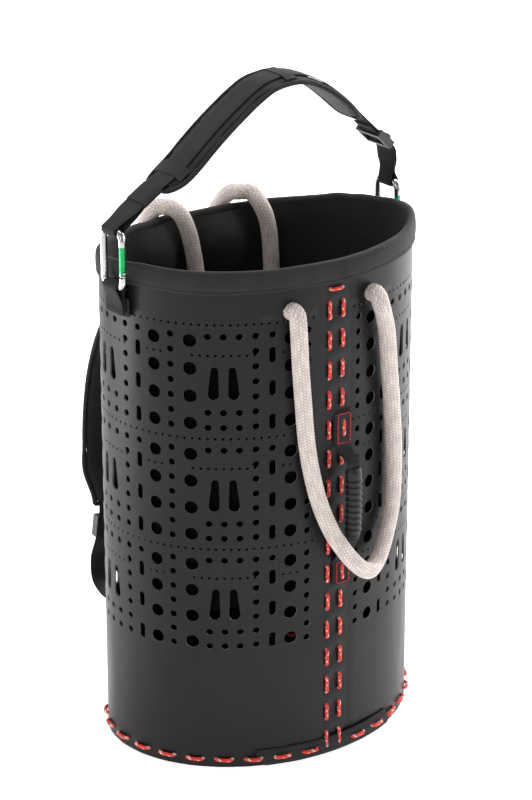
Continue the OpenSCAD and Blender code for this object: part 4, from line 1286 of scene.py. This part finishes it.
def simulate():
    """Inflates the queued pads as cloth and keeps the result, with a cap on how far each point moves."""
    scene = bpy.context.scene
    starts = []
    for piece, pinned, pressure, _ in SOFT:
        remesh = piece.modifiers.new("remesh", "REMESH")
        remesh.mode = "VOXEL"
        remesh.voxel_size = REMESH_SIZE
        co = coords_of(bake(piece))
        starts.append(co)
        group = piece.vertex_groups.new(name="sewn")
        group.add([int(i) for i in np.nonzero(pinned(co))[0]], 1.0, "REPLACE")
        cloth = piece.modifiers.new("cloth", "CLOTH")
        cloth.settings.use_pressure = True
        cloth.settings.uniform_pressure_force = pressure
        cloth.settings.vertex_group_mass = "sewn"
        cloth.settings.effector_weights.gravity = 0
        cloth.settings.tension_stiffness = 12
        cloth.settings.quality = 4
        cloth.point_cache.frame_end = CLOTH_FRAMES
    for frame_number in range(1, CLOTH_FRAMES + 1):
        scene.frame_set(frame_number)
    deps = bpy.context.evaluated_depsgraph_get()
    for (piece, _, _, cap), start in zip(SOFT, starts):
        move = coords_of(piece.evaluated_get(deps).data) - start
        far = np.linalg.norm(move, axis=1, keepdims=True)
        move *= np.minimum(1, cap / np.maximum(far, 1e-9))
        piece.modifiers.clear()
        piece.vertex_groups.clear()
        piece.data.vertices.foreach_set("co", (start + move).ravel())
        smoother = piece.modifiers.new("smooth", "SMOOTH")
        smoother.factor, smoother.iterations = 0.5, 2
        piece.modifiers.new("finer", "SUBSURF").levels = 1
        piece.modifiers["finer"].render_levels = 1
        bake(piece).shade_smooth()
    scene.frame_set(1)


def air_side(name, toward):
    """Spacer mesh on the faces of a pad that look along a direction."""
    pad = bpy.data.objects[name]
    second_material(pad, AIR_MESH, [face.normal.dot(toward) > 0.35 for face in pad.data.polygons])


# A cross band's shape: distance across the webbing and how far it falls there, in mm
BAND_SHAPE = [(-20, 2.6), (-16, 1.7), (-12.8, 0), (0, -0.2), (12.8, 0), (16, 1.7), (20, 2.6)]


def strap_pad():
    line, f = pad_line()
    half = pad_half_width(f)
    mid = -2.2 * MM - PAD_T / 2
    piece = pad_loft("carry_pad", line, f, half - 1 * MM, PAD_T, mid, strap_space)
    place(piece, "carry_strap", "pad", "strap_pad")

    def sewn(co):
        y = np.abs(co @ STRAP_ACROSS)
        return (np.abs(y - 14.5 * MM) < 2.3 * MM) | (y > PAD_W / 2 - 3.5 * MM)

    soften(piece, sewn, 4, 1.6 * MM)
    edge = binding("carry_pad_binding", line, half - 1 * MM, mid, strap_space, 1.9 * MM)
    place(edge, "carry_strap", "fabric")
    # Bands sewn across the webbing, near the pad's left end and at the top
    for k, (x0, x1) in enumerate(((-103, -89), (20, 33))):
        part = off_line(arch_part(x0, x1), 0.7 * MM)
        rings = []
        for y, fall in BAND_SHAPE:
            upper = strap_space(part, y * MM) - [0, 0, fall * MM]
            rings.append(np.vstack([upper, (upper - [0, 0, 1.2 * MM])[::-1]]))
        place(loft(f"cross_band_{k}", np.array(rings), WEBBING), "carry_strap", "fabric")
    line = strap_space(off_line(arch_part(52, 69), -1.6 * MM), -(WEB_W / 2 + 1 * MM))
    tag = tape("blank_tag", line, STRAP_ACROSS, 2.6 * MM, 0.8 * MM, LABEL_CLOTH)
    place(tag, "carry_strap", "label", "strap_label")


def tabs():
    for side, word in ((-1, "left"), (1, "right")):
        eye = np.array([CLIP_X, CLIP_Z[side] - CLIP_LINE])
        pivot = eye[1] - 17 * MM
        face = CLIP_X - EYE_R + 0.8 * MM
        turn = lambda flat: strap_space(np.asarray(flat) * [side, 1])
        patch = np.array([(face - 4.2 * MM, pivot - 11 * MM), (face - 4.2 * MM, pivot + 6 * MM)])
        cloth = tape(f"tab_cloth_{word}", turn(even(patch, 2 * MM)), STRAP_ACROSS, WEB_W, 4 * MM)
        place(cloth, "bag", "fabric", f"tab_patch_{word}")
        up_front = np.array([(0.9, -8), (0.9, 0), (0.5, 7)]) * MM + [face, pivot]
        down_back = np.array([(4.2, 7), (3, 0), (3, -8)]) * MM + [face, pivot]
        path = np.vstack([up_front, round_eye(eye, 190, -185), down_back])
        line = turn(curve(path, 1.2 * MM))
        up = np.clip((line[:, 2] - pivot) / (15 * MM), 0, 1)
        loop = tape(f"tab_webbing_{word}", line, STRAP_ACROSS, WEB_W * (1 - 0.2 * up), 1.8 * MM)
        place(loop, "carry_strap", "fabric", f"tab_loop_{word}")
        rows = []
        for z in (-6, -3.5, 4):
            ends = np.array([(face + 4 * MM, pivot + z * MM)] * 2)
            a, b = strap_space(ends * [side, 1], np.array([-10.5, 10.5]) * MM)
            line = even(np.array([a, b]), 1 * MM)
            out = np.tile(side * np.cross(STRAP_ACROSS, (0, 0, 1)), (len(line), 1))
            rows.append(stitches(f"tab_row_{word}_{z}", line, out, BLACK_THREAD, 2 * MM, 0.8 * MM))
        place(joined(f"tab_stitches_{word}", rows), "carry_strap", "fabric")


strap_webbing()
strap_pad()
tabs()


# ---- Shoulder straps ----

SHOULDER_X, SHOULDER_MID, SHOULDER_SPLAY = 80 * MM, 280 * MM, math.radians(7)
SHOULDER_W, SHOULDER_T = 56 * MM, 10 * MM
# The pads and the webbing below them from the side: distance back and height, in metres
SHOULDER_LINE = np.array([(101, 430), (105, 412), (117, 388), (133, 352), (141, 312), (140, 268),
                          (132, 222), (124, 188)]) * MM
LOWER_LINE = np.array([(124, 191), (121, 172), (125, 148), (130, 128), (124, 108), (108, 100),
                       (92, 99), (74, 98)]) * MM


def shoulder_space(side):
    a = -side * SHOULDER_SPLAY

    def to_space(flat, x=0.0):
        x = np.broadcast_to(x, len(flat))
        z = flat[:, 1] - SHOULDER_MID
        return np.stack([side * SHOULDER_X + x * math.cos(a) + z * math.sin(a), flat[:, 0],
                         SHOULDER_MID - x * math.sin(a) + z * math.cos(a)], 1)
    return to_space


def shoulders():
    for side, word in ((-1, "left"), (1, "right")):
        space = shoulder_space(side)
        a = -side * SHOULDER_SPLAY
        across = np.array([math.cos(a), 0, -math.sin(a)])
        line = curve(SHOULDER_LINE, 2.5 * MM)
        f = lengths(line) / lengths(line)[-1]
        half = SHOULDER_W / 2 * (0.62 + 0.38 * smoothstep(np.minimum(f / 0.10, (1 - f) / 0.16)))
        pad = pad_loft(f"shoulder_cushion_{word}", line, f, half - 1 * MM, SHOULDER_T, 0.0, space)
        place(pad, "bag", "pad", f"shoulder_pad_{word}")

        def sewn(co, across=across, side=side):
            x = np.abs((co - [side * SHOULDER_X, 0, SHOULDER_MID]) @ across)
            return (x > SHOULDER_W / 2 - 4.5 * MM) | (np.abs(x - 13 * MM) < 1.6 * MM)

        soften(pad, sewn, 4, 2 * MM)
        place(binding(f"shoulder_binding_{word}", line, half - 1 * MM, 0.0, space, 2 * MM), "bag", "fabric")
        lower = space(curve(LOWER_LINE, 2 * MM))
        outside = np.array([(x / HALF_W) ** 2 + (y / BACK) ** 2 > 0.99 for x, y, _ in lower])
        webbing = tape(f"shoulder_tape_{word}", lower[outside], across, WEB_W, WEB_T)
        place(webbing, "bag", "fabric", f"shoulder_webbing_{word}")


shoulders()
simulate()
air_side("carry_pad", Vector((0, 0, -1)))


# ---- CAD nodes that stay ----

def dress(mat, *names):
    for name in names:
        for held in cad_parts[name].material_slots:
            held.material = mat


dress(ALLOY, "carabiner_left", "carabiner_right", "gate_pin_left", "gate_pin_right")
dress(GREEN, "gate_left", "gate_right")
dress(MOULDED, "strap_slider", "shoulder_adjuster_left", "shoulder_adjuster_right", "base_plate")

studio()
